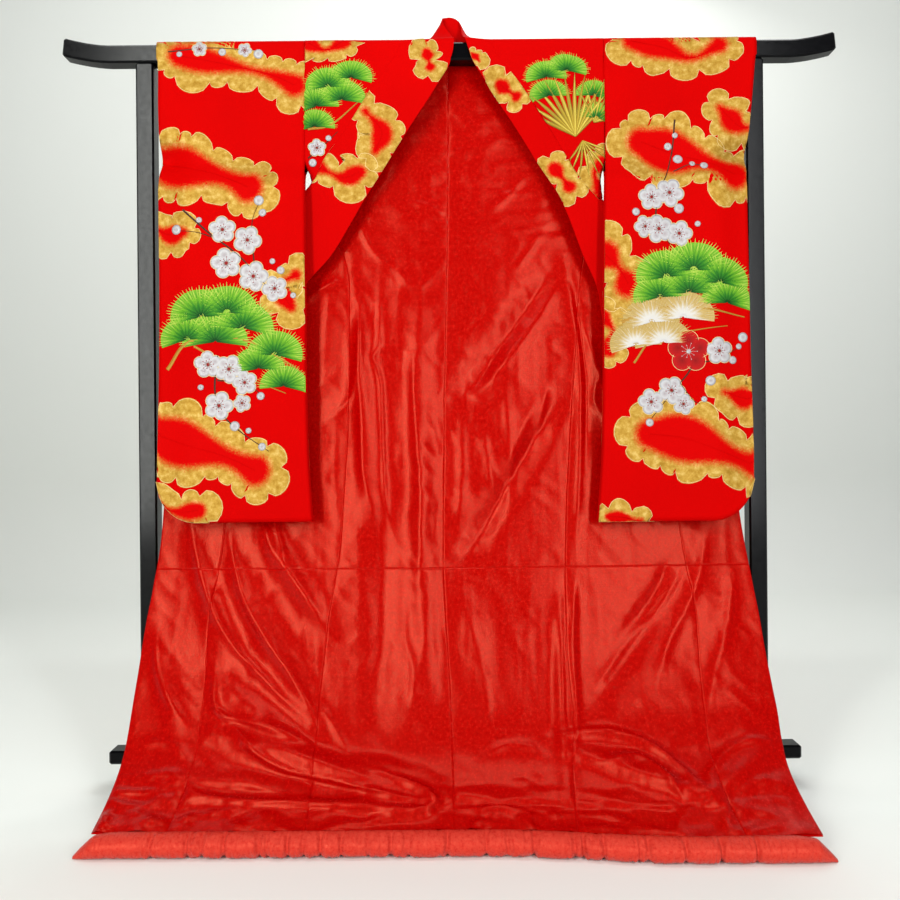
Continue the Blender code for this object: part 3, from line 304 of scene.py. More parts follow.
# Stitches along the roll, how deep they draw it in, and half widths of a stitch and of the puckers round it
TUFTS = [-0.560, -0.494, -0.467, -0.425, -0.362, -0.347, -0.309, -0.280, -0.249, -0.211, -0.162, -0.120,
         -0.088, -0.017, 0.054, 0.092, 0.141, 0.215, 0.229, 0.266, 0.328, 0.343, 0.409, 0.473, 0.536]
TUFT_DEPTHS = [0.0030, 0.0055, 0.0038, 0.0060, 0.0046]
TUFT_HALF = 0.0040
PUCKER_HALF = 0.022

# Crushed cloth, as creases of ridged noise: rise, creases a metre across and along, and a seed
SLOW_CREASES = numbers("rise across along seed", (0.0022, 6, 3.2, 16), (0.0012, 11, 7, 17))
STREAKS = numbers("rise across along seed", (0.0005, 34, 5, 1), (0.0003, 62, 9, 2))
CROSS_CREASES = numbers("rise across along seed", (0.0008, 6, 36, 3), (0.0005, 14, 60, 4))
SLANTED_CREASES = numbers("rise across along seed", (0.0009, 22, 14, 5))
HEM_PLEATS = numbers("rise across along seed", (0.0056, 11, 38, 8), (0.0036, 23, 52, 9))
ROLL_GATHERS = numbers("rise across along seed", (0.0011, 95, 0.9, 21), (0.0008, 210, 1.3, 22))

# How much of the lining's ridges shows in the outer cloth
OUTER_SHARE = 0.5

# Cloth further out and higher than this hangs calm behind the sleeves
CALM_FROM_X = 0.38
CALM_FROM_H = 0.62

# The lining is pleated below the first height and finely crushed above the second
PLEATED_BELOW = 0.055
CRUSHED_ABOVE = 1.05

# Clouds: length of one scallop, the depth over which the gold fades, the narrow middle of an arm,
# and points along its middle line
CLOUD_LOBE = 0.050
CLOUD_BAND = 0.056
CLOUD_HEART = 0.02
CLOUD_POINTS = 40

# Scallops differ in length by up to this share, bulge by this share of their length, and start this bright
LOBE_SPREAD = 0.55
LOBE_BULGE = 0.34
CLOUD_TONE = 0.80

# Pine tufts are this much larger than their table says, and flattened
PINE_SCALE = 1.18
PINE_FLATTENING = 0.86

# Motifs stand off the bottom of a trough in the cloth by this share of its depth
TROUGH_CLEARANCE = 0.6

# Rows of needles in a pine tuft: rise, reach as a share of its size, and how many needles
NEEDLE_ROWS = [(0.0, 1.0, 34), (0.0004, 0.72, 25), (0.0008, 0.45, 17)]

# A thread round a cloud or a petal is this wide
RIM_WIDTH = 0.0011

# A blossom's petals and heart as shares of its size: petal radius, petal place and heart radius
PETAL_RADIUS = 0.235
PETAL_PLACE = 0.27
HEART_RADIUS = 0.055

# Colours of the cloth, the lacquer and the paper backdrop
RED_CREPE = (0.49, 0.0, 0.0)
# The lining's colour: painted shade in the crinkle troughs, lighter on the crests
LINING_PAINTED_TROUGH_SHADE = (0.24, 0.0, 0.0)
LINING_PAINTED_CREST_LIGHT = (0.47, 0.0, 0.0)
# The hem roll is the lining's cloth; its lighter, salmon-tinted colours are painted sheen, with painted
# shade in the crinkle troughs
ROLL_PAINTED_SHEEN_TROUGH_SHADE = (0.46, 0.014, 0.010)
ROLL_PAINTED_SHEEN_CREST_LIGHT = (0.58, 0.050, 0.030)
SHEEN_TINT = (1.0, 0.25, 0.14, 1)
LACQUER_BLACK = (0.0015, 0.0015, 0.002)
PALE_PAPER = (0.80, 0.82, 0.785)
LEAF_GOLD = (0.55, 0.28, 0.04)
ROOM_LIGHT = (0.95, 0.98, 0.95, 1)

# Embroidery threads: the look of each, and its colours from the shaded to the bright end of a motif
THREADS = numbers(
    "name roughness metallic threads depth stops",
    ("pale_gold_thread", 0.4, 0.2, 700, 0.0006, [(0.0, (0.56, 0.40, 0.16)), (1.0, (0.64, 0.48, 0.22))]),
    ("gold_thread", 0.35, 0.3, 700, 0.0006,
        [(0.0, (0.14, 0.08, 0.006)), (0.55, (0.34, 0.23, 0.02)), (1.0, (0.50, 0.38, 0.06))]),
    ("silver_thread", 0.38, 0.25, 900, 0.0020,
        [(0.0, (0.24, 0.22, 0.23)), (0.4, (0.46, 0.45, 0.46)), (1.0, (0.36, 0.31, 0.32))]),
    ("maroon_thread", 0.5, 0.0, 700, 0.0006, [(0.0, (0.26, 0.012, 0.016)), (1.0, (0.18, 0.004, 0.008))]),
    ("crimson_thread", 0.6, 0.0, 700, 0.0006, [(0.0, (0.42, 0.0, 0.0)), (1.0, (0.22, 0.0, 0.0))]),
    ("branch_thread", 0.5, 0.0, 700, 0.0006, [(0.0, (0.03, 0.012, 0.008)), (1.0, (0.05, 0.018, 0.01))]),
    ("bark_thread", 0.45, 0.2, 700, 0.0006, [(0.0, (0.22, 0.10, 0.015)), (1.0, (0.34, 0.17, 0.02))]),
    ("pine_thread", 0.6, 0.0, 700, 0.0006,
        [(0.05, (0.0, 0.045, 0.004)), (0.38, (0.020, 0.16, 0.008)), (0.68, (0.13, 0.34, 0.014)),
         (0.97, (0.42, 0.52, 0.08))]),
    ("frost_thread", 0.5, 0.1, 700, 0.0006,
        [(0.05, (0.52, 0.50, 0.49)), (0.32, (0.54, 0.51, 0.46)), (0.60, (0.44, 0.31, 0.11)),
         (0.97, (0.38, 0.25, 0.06))]),
)

# Mottled gold, from its dark to its bright places
GOLD_STOPS = [(0.32, (0.31, 0.16, 0.018)), (0.52, (0.44, 0.26, 0.045)), (0.72, (0.60, 0.42, 0.13))]

# The paper backdrop: its near edge, where it starts to curve up, the curve's radius, its top and half width
SWEEP_NEAR = -4.0
SWEEP_START = 2.6
SWEEP_RADIUS = 0.6
SWEEP_TOP = 5.5
SWEEP_HALF = 7.0

LIGHTS = numbers(
    "name place target size power color",
    ("window_left", (-1.7, -3.0, 1.70), (0, 0, 1.0), (0.34, 2.8), 98, (0.98, 1.0, 0.96)),
    ("window_right", (1.5, -3.1, 1.65), (0, 0, 1.0), (0.28, 2.7), 78, (0.96, 0.98, 1.0)),
    ("ceiling", (0, -0.95, 3.3), (0, -0.2, 0.2), (2.4, 0.22), 24, (1, 1, 1)),
    ("wall_wash", (0, 1.2, 3.8), (0, 3.2, 1.2), (5.0, 0.8), 48, (1, 1, 1)),
    ("back_fill", (0.8, 2.7, 3.9), (0, 0, 0.7), (1.6, 0.9), 45, (1, 1, 1)),
)

# The camera: place, lens in millimetres and a slight roll
CAMERA_PLACE = (-0.006, -2.05, 0.745)
CAMERA_LENS = 36.24
CAMERA_ROLL = 0.00873

# A seam draws the lining in: depth, half width and the parting of two panels
SEAM_DIP = 0.0010
SEAM_HALF = 0.0014
SEAM_EASE = 0.00005

# Fineness of the cloth grids, and the rows close to a seam
CLOTH_STEP = 0.0055
OUTER_STEP = 0.008
MOTIF_STEP = 0.006
CLOSE_ROWS = np.array([0.0, 0.0009, 0.0018, 0.0034])
PANEL_WIDTHS = [0.32, 0.36, 0.15, 0.14]

# How far a normal looks across, as a share of a panel, and up and down
NORMAL_REACH = 0.02
NORMAL_RISE = 0.003


def read(table, place, column):
    """The column's values at places along the table's first column, on a curve that never overshoots."""
    key = next(iter(table[0]))
    rows = sorted(table, key=lambda row: row[key])
    places = np.array([row[key] for row in rows])
    values = np.array([row[column] for row in rows])
    place = np.clip(np.asarray(place, float), places[0], places[-1])
    width = np.diff(places)
    slopes = np.diff(values) / width
    tangents = np.empty(len(values))
    tangents[0] = slopes[0]
    tangents[-1] = slopes[-1]
    before, after = slopes[:-1], slopes[1:]
    same = before * after > 0
    total = np.where(same, before + after, 1.0)
    tangents[1:-1] = np.where(same, 2 * before * after / total, 0.0)
    i = np.clip(np.searchsorted(places, place, side="right") - 1, 0, len(width) - 1)
    t = (place - places[i]) / width[i]
    start = values[i] * (1 + 2 * t) * (1 - t) ** 2 + width[i] * tangents[i] * t * (1 - t) ** 2
    end = values[i + 1] * t * t * (3 - 2 * t) + width[i] * tangents[i + 1] * t * t * (t - 1)
    return start + end


def mix(a, b, t):
    return a + (b - a) * t


def smooth(t):
    t = np.clip(t, 0.0, 1.0)
    return t * t * (3 - 2 * t)


def stack(x, y, z):
    return np.stack(np.broadcast_arrays(x, y, z), axis=-1)


def unit(v):
    return v / np.maximum(np.linalg.norm(v, axis=-1, keepdims=True), 1e-9)


def drape_y(x, h):
    """The depth of the back's smooth hang, which bows back towards its sides."""
    across = np.minimum(np.abs(x) / HALF_SPREAD, 1.2)
    skew = smooth((x - 0.05) / 0.40)
    depth = read(PROFILE, h, "y") + read(EDGE_SETBACK, h, "back") * across ** 2
    return depth - read(EDGE_SETBACK, h, "skew") * skew


def train_stretch(h):
    """Cloth to a metre of height, which grows where the train runs forward over the floor."""
    return 1.0 + 0.8 * (1 - smooth(h / 0.35))


def ridge_field(table, x, h, least):
    """The summed rise of soft ridges; least is how high a ridge still is at its two ends."""
    total = np.zeros(np.broadcast(x, h).shape)
    stretch = train_stretch(h)
    for fold in table:
        along_x = fold["x2"] - fold["x1"]
        along_h = fold["h2"] - fold["h1"]
        run = along_x ** 2 + (along_h * stretch) ** 2
        part = ((x - fold["x1"]) * along_x + (h - fold["h1"]) * along_h * stretch ** 2) / run
        near = np.clip(part, 0.0, 1.0)
        away_x = x - fold["x1"] - near * along_x
        away_h = (h - fold["h1"] - near * along_h) * stretch
        away = np.hypot(away_x, away_h) / fold["half"]
        swell = least + (1 - least) * np.sin(np.pi * near)
        total += fold["rise"] * swell * np.exp(-away * away)
    return total


def fold_rise(x, h):
    return ridge_field(FOLDS, x, h, 0.35) * smooth((h - SHEET_END) / 0.03)


def drape(x, h):
    """The back's lining face, leaning out along its own normal where a large fold rises."""
    slope_y = (read(PROFILE, h + 0.004, "y") - read(PROFILE, h - 0.004, "y")) / 0.008
    length = np.hypot(1.0, slope_y)
    rise = fold_rise(x, h)
    return stack(x, drape_y(x, h) - rise / length, h + rise * slope_y / length * FOLD_LEAN)


def into_armhole(h):
    """From 0 where the side seam ends to 1 where the sleeve begins."""
    return smooth((h - OPENING_BOTTOM) / (ARMHOLE_BOTTOM - OPENING_BOTTOM))


def back_point(side, u, h):
    """The back from its centre seam (0) to its side seam (1)."""
    seam = read(SEAMS[side], np.minimum(h, NECKLINE), "side")
    top = read(SEAMS[side], OPENING_BOTTOM, "side")
    armhole = read(SEAMS[side], ARMHOLE_BOTTOM, "side")
    above = mix(top, armhole, into_armhole(h))
    edge = side * np.where(h > OPENING_BOTTOM, above, seam)
    return drape(mix(read(CENTRE_SEAM, h, "x"), edge, u), h)


def sway(value):
    """How far the cloth has turned round the fold at a signed distance past it."""
    return 0.5 + 0.5 * value / np.hypot(value, TURN_RADIUS)


def front_row(side, h):
    """A row of the opened front: its seams, how far it runs outward, and its whole run to its free edge."""
    row = {name: read(SEAMS[side], h, name) for name in ("side", "turn", "seam", "free", "front")}
    outward = np.maximum(row["turn"] - row["side"], 0.0)
    return row, outward, outward + np.maximum(row["turn"] - row["free"], 0.0)


def front_path(side, h, part):
    """A row of the opened front: outward behind the sleeve, round its fold and back in front."""
    row, outward, whole = front_row(side, h)
    distance = part * whole
    folded = smooth((whole - outward) / FOLD_EASE)
    past = distance - outward
    bend = np.hypot(past, TURN_RADIUS) - TURN_RADIUS
    leg = np.where(past < 0, outward, whole - outward)
    scale = leg / np.maximum(np.hypot(leg, TURN_RADIUS) - TURN_RADIUS, 1e-6)
    x = side * mix(row["side"] + distance, row["turn"] - bend * scale, folded)
    start = sway(-outward)
    turned = (sway(past) - start) / np.maximum(sway(whole - outward) - start, 1e-6)
    behind = drape(x, np.minimum(h, NECKLINE))
    rise = into_armhole(h)
    behind_y = mix(behind[..., 1], row["front"] + 0.003 * rise, rise)
    ahead = row["front"]
    if side > 0:
        seam_part = (row["turn"] - row["seam"]) / np.maximum(row["turn"] - row["free"], 1e-6)
        lean = np.clip((part - seam_part) / np.maximum(1 - seam_part, 1e-6), 0.0, 1.0)
        ease = smooth((ARMHOLE_TOP - h) / 0.06) * smooth((h - OKUMI_TOP) / 0.10)
        ahead = ahead + RIGHT_FREE_SETBACK * lean * ease
    y = mix(behind_y, ahead, turned * folded)
    return stack(x, y, mix(behind[..., 2], h, turned * folded))


def front_parts(side, h):
    """Where the okumi seam and the collar seam lie along a row of the opened front."""
    row, outward, whole = front_row(side, h)
    collar = outward + np.maximum(row["turn"] - row["seam"], 0.0)
    width = np.minimum(read(OKUMI_WIDTH, h, "width"), collar * 0.8)
    okumi = np.where(h <= OKUMI_TOP, collar - width, collar)
    return okumi / whole, collar / whole


def over_bar(side, u, h):
    """The front's shoulder over the bar, from the armhole (0) to the collar seam (1)."""
    armhole = side * read(SEAMS[side], ARMHOLE_TOP, "side")
    x = mix(armhole, read(NECK[side], h, "seam"), u)
    return stack(x, read(OVER_BAR, h, "y"), read(OVER_BAR, h, "z"))


def edge_place(table, along):
    """The place of the collar's free edge."""
    return stack(*[read(table, along, axis) for axis in "xyz"])


def garment_point(side, place, h):
    """The drape. The place counts panels from the centre back: 0 to 1 is the back, 1 to 2 the front,
    2 to 3 the okumi and 3 to 4 the collar."""
    place, h = np.broadcast_arrays(np.asarray(place, float), np.asarray(h, float))
    back = back_point(side, np.minimum(place, 1.0), h)
    okumi, collar = front_parts(side, h)
    part = np.where(place <= 2, okumi * (place - 1), mix(okumi, collar, place - 2))
    part = np.where(place > 3, mix(collar, 1.0, place - 3), part)
    front = front_path(side, h, np.clip(part, 0.0, 1.0))
    bar = over_bar(side, np.clip(place - 1, 0.0, 1.0), h)
    free = edge_place(NECK[side], h)
    band = mix(over_bar(side, 1.0, h), free, np.clip(place - 3, 0, 1)[..., None])
    bar = np.where((place > 3)[..., None], band, bar)
    opened = np.where((h > SHOULDER_START)[..., None], bar, front)
    return np.where((place <= 1)[..., None], back, opened)


def garment_normal(side, place, h):
    """The direction that the lining faces."""
    place, h = np.broadcast_arrays(np.asarray(place, float), np.asarray(h, float))
    step = NORMAL_REACH
    above = h > OPENING_BOTTOM
    low = np.where((place >= 1) & above & (place - step < 1), 1.0001, place - step)
    high = np.where((place <= 1) & above, np.minimum(place + step, 1.0), place + step)
    no_okumi = (place > 1) & (h > OKUMI_TOP) & (np.abs(place - 2.5) <= 0.5 + step)
    low = np.where(no_okumi, 1.97, low)
    high = np.where(no_okumi, 3.05, np.minimum(high, 4.0))
    before = garment_point(side, np.abs(low), h)
    mirrored = garment_point(-side, np.abs(low), h)
    before = np.where((low < 0)[..., None], mirrored, before)
    across = (garment_point(side, high, h) - before) * side
    # The back ends at the neckline, and the front at the far side of the bar
    upper = np.where(place <= 1, np.minimum(h + NORMAL_RISE, NECKLINE), h + NORMAL_RISE)
    upward = garment_point(side, place, upper) - garment_point(side, place, h - NORMAL_RISE)
    return unit(np.cross(across, upward))


def noise(x, y, seed, size=64):
    """Smooth random values from -1 to 1 on a unit lattice."""
    values = np.random.RandomState(seed).rand(size, size)
    i = np.floor(x).astype(int)
    j = np.floor(y).astype(int)
    u = smooth(x - i)
    v = smooth(y - j)
    i, j, right, up = i % size, j % size, (i + 1) % size, (j + 1) % size
    low = mix(values[i, j], values[right, j], u)
    high = mix(values[i, up], values[right, up], u)
    return mix(low, high, v) * 2 - 1


def ridged(x, y, seed):
    """Sharp creases where the noise passes through zero."""
    return 1 - 2 * np.abs(noise(x, y, seed))


def creased(table, x, y):
    """The summed rise of a table's crushed creases."""
    return sum(row["rise"] * ridged(x * row["across"], y * row["along"], row["seed"]) for row in table)


def cloth_length(h):
    """Length of cloth from the hem up to a height."""
    heights = np.linspace(SHEET_END, NECKLINE, 400)
    depth = read(PROFILE, heights, "y")
    run = np.concatenate([[0], np.cumsum(np.hypot(np.diff(heights), np.diff(depth)))])
    return np.interp(h, heights, run)


def line_field(table, x, h):
    """The summed rise of crisp ridges along lines of several places."""
    total = np.zeros(x.shape)
    for crease in table:
        path = curve(crease["path"], 3 * len(crease["path"]))
        reach = crease["half"] * 5
        low = path.min(axis=0) - reach
        high = path.max(axis=0) + reach
        inside = (x > low[0]) & (x < high[0]) & (h > low[1]) & (h < high[1])
        if not inside.any():
            continue
        px, ph = x[inside], h[inside]
        lengths = np.hypot(*(np.diff(path, axis=0).T))
        run = np.concatenate([[0], np.cumsum(lengths)]) / lengths.sum()
        best = np.full(px.shape, 9.0)
        along = np.zeros(px.shape)
        stretch = train_stretch(ph)
        for i, (start, end) in enumerate(zip(path, path[1:])):
            dx, dh = end - start
            part = np.clip(((px - start[0]) * dx + (ph - start[1]) * dh) / (dx * dx + dh * dh), 0, 1)
            away = np.hypot(px - start[0] - part * dx, (ph - start[1] - part * dh) * stretch)
            closer = away < best
            best = np.where(closer, away, best)
            along = np.where(closer, mix(run[i], run[i + 1], part), along)
        bend = np.sqrt((best / crease["half"]) ** 2 + 0.25)
        swell = smooth(along / 0.25) * smooth((1 - along) / 0.25)
        total[inside] += crease["rise"] * (0.15 + 0.85 * swell) * np.exp(0.5 - bend)
    return total


def soft_form(x, h):
    """Creases and slow waves that the lining and the outer cloth share."""
    length = cloth_length(h)
    warp_x = x + 0.03 * noise(x * 3, length * 3, 14)
    warp_l = length + 0.04 * noise(x * 3 + 5, length * 3, 15)
    waves = 0.0020 * noise(warp_x * 8, warp_l * 4, 6) + 0.0010 * noise(x * 5, length * 13, 7)
    waves += creased(SLOW_CREASES, warp_x, warp_l)
    calm = smooth((np.abs(x) - CALM_FROM_X) / 0.08) * smooth((h - CALM_FROM_H) / 0.08)
    train = smooth((h - SHEET_END) / 0.02)
    return (line_field(CREASES, x, h) * train + waves * smooth((NECKLINE - h) / 0.04)) * (1 - 0.85 * calm)


def outer_form(x, h):
    """The outer cloth follows the lining's troughs, and its ridges only in part."""
    form = soft_form(x, h)
    return np.minimum(form, OUTER_SHARE * form)


def crinkle(x, length, h):
    """Fine crushed creases of the satin lining, never behind its own face."""
    hem = 1 - smooth((h - PLEATED_BELOW) / 0.07)
    high = smooth((h - CRUSHED_ABOVE) / 0.25)
    warp_x = x + 0.012 * noise(x * 9, length * 5, 11)
    warp_l = length + 0.015 * noise(x * 7, length * 8, 12)
    streaks = creased(STREAKS, warp_x, warp_l)
    cross = creased(CROSS_CREASES, warp_x, warp_l)
    slanted = creased(SLANTED_CREASES, warp_x + warp_l, warp_x - warp_l)
    pleats = creased(HEM_PLEATS, warp_x, warp_l)
    strength = 0.5 + 0.5 * noise(x * 4, length * 4, 13)
    fine = streaks * (1 - 0.4 * high) + cross * (0.4 + 3.0 * high) * strength + slanted * (0.4 + strength)
    return np.maximum(fine * 0.8 + pleats * hem * (0.4 + strength), -0.0002)


def node_material(name, color, roughness, **sockets):
    made = bpy.data.materials.new(name)
    made.use_nodes = True
    shader = made.node_tree.nodes["Principled BSDF"]
    shader.inputs["Base Color"].default_value = (*color, 1)
    shader.inputs["Roughness"].default_value = roughness
    for label, value in sockets.items():
        shader.inputs[label.replace("_", " ")].default_value = value
    return made, made.node_tree, shader


def add_bump(tree, shader, source, strength, distance):
    bump = tree.nodes.new("ShaderNodeBump")
    bump.inputs["Strength"].default_value = strength
    bump.inputs["Distance"].default_value = distance
    tree.links.new(source, bump.inputs["Height"])
    tree.links.new(bump.outputs["Normal"], shader.inputs["Normal"])


def map_range(tree, source, target, **limits):
    """Feeds a socket from a source whose range is changed."""
    made = tree.nodes.new("ShaderNodeMapRange")
    for label, value in limits.items():
        made.inputs[label.replace("_", " ")].default_value = value
    tree.links.new(source, made.inputs["Value"])
    tree.links.new(made.outputs["Result"], target)
    return made


def multiply_add(tree, source, factor, other):
    made = tree.nodes.new("ShaderNodeMath")
    made.operation = "MULTIPLY_ADD"
    made.inputs[1].default_value = factor
    tree.links.new(source, made.inputs[0])
    tree.links.new(other, made.inputs[2])
    return made.outputs["Value"]


def noise_node(tree, vector, scale, detail, roughness=0.5):
    made = tree.nodes.new("ShaderNodeTexNoise")
    made.inputs["Scale"].default_value = scale
    made.inputs["Detail"].default_value = detail
    made.inputs["Roughness"].default_value = roughness
    tree.links.new(vector, made.inputs["Vector"])
    return made.outputs["Fac"]


def stretched(tree, scale):
    coords = tree.nodes.new("ShaderNodeTexCoord")
    mapping = tree.nodes.new("ShaderNodeMapping")
    mapping.inputs["Scale"].default_value = scale
    tree.links.new(coords.outputs["UV"], mapping.inputs["Vector"])
    return mapping.outputs["Vector"]


def ramp_node(tree, source, stops):
    made = tree.nodes.new("ShaderNodeValToRGB")
    ramp = made.color_ramp
    while len(ramp.elements) < len(stops):
        ramp.elements.new(0.5)
    for element, (place, color) in zip(ramp.elements, stops):
        element.position = place
        element.color = (*color, 1)
    tree.links.new(source, made.inputs["Fac"])
    return made.outputs["Color"]


def satin(name, painted_trough_shade, painted_crest_light, roughness):
    """Crushed satin: deep ground, painted shade in its crinkle troughs, fine crosswise threads, a broken
    warm sheen.
    """
    made, tree, shader = node_material(name, painted_crest_light, roughness, Specular_IOR_Level=0.42)
    shader.inputs["Specular Tint"].default_value = SHEEN_TINT
    threads = noise_node(tree, stretched(tree, (26, 270, 1)), 1.0, 4.0, 0.66)
    crush = noise_node(tree, stretched(tree, (150, 120, 1)), 1.0, 6.0, 0.80)
    # The crush noise that raises the bump also sets the colour, darker where the bump is low: painted shade
    # in the crinkle troughs
    tree.links.new(ramp_node(tree, crush, [(0.30, painted_trough_shade), (0.66, painted_crest_light)]), shader.inputs["Base Color"])
    add_bump(tree, shader, multiply_add(tree, threads, 0.55, crush), 0.44, 0.0009)
    map_range(tree, crush, shader.inputs["Roughness"], From_Min=0.35, From_Max=0.65,
              To_Min=roughness * 0.6, To_Max=roughness * 1.7)
    return made


def crepe(name, color):
    """Matte red crepe with a fine grain."""
    made, tree, shader = node_material(name, color, 0.7, Specular_IOR_Level=0.02)
    grain = noise_node(tree, stretched(tree, (600, 600, 1)), 1.0, 4.0, 0.6)
    shade = noise_node(tree, stretched(tree, (5, 4, 1)), 1.0, 2.0)
    dim = tuple(channel * 0.9 for channel in color)
    tree.links.new(ramp_node(tree, shade, [(0.3, dim), (0.7, color)]), shader.inputs["Base Color"])
    add_bump(tree, shader, grain, 0.25, 0.0006)
    return made


def lacquer(name):
    """Black lacquer with a faint ripple and a little dust."""
    made, tree, shader = node_material(name, LACQUER_BLACK, 0.16, Specular_IOR_Level=0.10)
    coords = tree.nodes.new("ShaderNodeTexCoord").outputs["Object"]
    dust = noise_node(tree, coords, 90.0, 4.0)
    map_range(tree, dust, shader.inputs["Roughness"], To_Min=0.12, To_Max=0.26)
    add_bump(tree, shader, noise_node(tree, coords, 12.0, 2.0), 0.04, 0.002)
    return made


def build_mesh(name, points, quads, uv, look):
    """An object of quads with one UV place for each point, in the collection and with its look."""
    quads = np.ascontiguousarray(quads, dtype=np.int32)
    points = points + np.array([0, SHIFT_Y, 0])
    mesh = bpy.data.meshes.new(name)
    mesh.vertices.add(len(points))
    mesh.vertices.foreach_set("co", points.astype(np.float32).ravel())
    mesh.loops.add(len(quads) * 4)
    mesh.loops.foreach_set("vertex_index", quads.ravel())
    mesh.polygons.add(len(quads))
    mesh.polygons.foreach_set("loop_start", np.arange(0, len(quads) * 4, 4, dtype=np.int32))
    layer = mesh.uv_layers.new(name="cloth")
    layer.data.foreach_set("uv", uv[quads.ravel()].astype(np.float32).ravel())
    mesh.update(calc_edges=True)
    mesh.shade_smooth()
    mesh.materials.append(look)
    made = bpy.data.objects.new(name, mesh)
    bpy.context.collection.objects.link(made)
    return made


def grid_quads(index):
    """Quads between neighbouring rows and columns of a table of point numbers."""
    upper, lower = index[:-1], index[1:]
    return np.stack([upper[:, :-1], lower[:, :-1], lower[:, 1:], upper[:, 1:]], axis=-1).reshape(-1, 4)


def grid_mesh(name, grid, uv, look, flip=False, wrap=False):
    """A sheet of quads from rows and columns of points."""
    rows, columns = grid.shape[:2]
    index = np.arange(rows * columns).reshape(rows, columns)
    if wrap:
        index = np.concatenate([index, index[:1]], axis=0)
    quads = grid_quads(index)
    if flip:
        quads = quads[:, ::-1]
    return build_mesh(name, grid.reshape(-1, 3), quads, uv.reshape(-1, 2), look)


def thicken(piece, thickness, offset):
    """Gives a sheet its thickness: offset 1 grows it along its normals, and -1 against them."""
    wall = piece.modifiers.new("wall", "SOLIDIFY")
    wall.thickness = thickness
    wall.offset = offset
    return piece


def declare(piece, node):
    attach(piece, "root")
    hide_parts(node)


def grid_normals(points, side):
    """The direction the lining faces, from the grid itself: rows run downward, columns outward."""
    across = np.gradient(points, axis=1) * side
    upward = -np.gradient(points, axis=0)
    return unit(np.cross(across, upward))


def heights_between(high, low, step):
    """Heights down the cloth, evenly spaced along its length, and close together at the lining's join."""
    count = max(int((cloth_length(high) - cloth_length(low)) / step), 2)
    lengths = np.linspace(cloth_length(high), cloth_length(low), count + 1)
    fine = np.linspace(SHEET_END, NECKLINE, 800)
    heights = np.interp(lengths, cloth_length(fine), fine)
    close = CLOSE_ROWS[1:]
    if low == LINING_JOIN:
        heights = np.concatenate([heights[:-1], low + close[::-1], [low]])
    if high == LINING_JOIN:
        heights = np.concatenate([[high], high - close, heights[1:]])
    return heights


def panel_grid(side, first, heights, step):
    """Points of a panel at the lining's face, with how far each lies from its nearest seam."""
    width = PANEL_WIDTHS[first]
    columns = max(int(width / step), 5)
    close = CLOSE_ROWS / width
    parts = np.linspace(0, 1, columns + 1)[1:-1]
    places = first + np.concatenate([close, parts, 1 - close[::-1]])
    places[0] += SEAM_EASE
    places[-1] -= SEAM_EASE
    place, h = np.meshgrid(places, heights)
    points = garment_point(side, place, h)
    edge = np.minimum(place - first, first + 1 - place) * width
    return points, edge, h


def lining_panel(name, side, first, high, low, look):
    points, edge, h = panel_grid(side, first, heights_between(high, low, CLOTH_STEP), CLOTH_STEP)
    length = cloth_length(h)
    normals = grid_normals(points, side)
    rise = crinkle(points[..., 0], length, h) * smooth(edge / 0.018 + 0.15) + soft_form(points[..., 0], h)
    # A seam draws the cloth in a little on both sides of it
    rise = rise - SEAM_DIP * np.exp(-(edge / SEAM_HALF) ** 2)
    for seam in (high, low):
        if seam == LINING_JOIN:
            rise = rise - SEAM_DIP * np.exp(-((h - seam) / SEAM_HALF) ** 2)
    points = points + normals * rise[..., None]
    uv = np.stack([points[..., 0], length], axis=-1)
    return grid_mesh(name, points, uv, look, flip=side < 0)


def lining(look):
    parts = [("back", 0, NECKLINE), ("front", 1, OPENING_BOTTOM), ("okumi", 2, OPENING_BOTTOM)]
    for side, tag in SIDES:
        for name, first, top in parts:
            for part, high, low in (("upper", top, LINING_JOIN), ("lower", LINING_JOIN, SHEET_END)):
                piece = lining_panel(f"satin_{name}_{part}_{tag}", side, first, high, low, look)
                declare(piece, f"lining_{name}_{part}_{tag}")


def outer_panel(name, side, first, heights, near, thickness, look):
    """A panel of the outer cloth, whose face starts at near behind the lining's face."""
    points, _, h = panel_grid(side, first, heights, OUTER_STEP)
    past_neckline = cloth_length(NECKLINE) + h - NECKLINE
    length = np.where(h > NECKLINE, past_neckline, cloth_length(np.minimum(h, NECKLINE)))
    normals = grid_normals(points, side)
    points = points + normals * (outer_form(points[..., 0], h) - near)[..., None]
    uv = np.stack([points[..., 0], length], axis=-1)
    piece = grid_mesh(name, points, uv, look, flip=side > 0)
    return thicken(piece, thickness, 1.0)


def front_heights(low):
    """Rows from behind the bar, over it and down the front to a height."""
    over = np.linspace(BAR_END, SHOULDER_START, 28)
    return np.concatenate([over, heights_between(SHOULDER_START, low, OUTER_STEP)[1:]])


def outer_body(look):
    panels = [
        ("back", 0, heights_between(NECKLINE, SHEET_END, OUTER_STEP), OUTER_FACE, OUTER_THICK),
        ("front", 1, front_heights(SHEET_END), OUTER_FACE, OUTER_THICK),
        ("okumi", 2, heights_between(OKUMI_TOP, SHEET_END, OUTER_STEP), OUTER_FACE, OUTER_THICK),
        ("collar", 3, front_heights(COLLAR_END), 0.0, COLLAR_THICK),
    ]
    for side, tag in SIDES:
        for name, first, heights, near, thickness in panels:
            piece = outer_panel(f"cloth_{name}_{tag}", side, first, heights, near, thickness, look)
            declare(piece, f"{name}_{tag}")


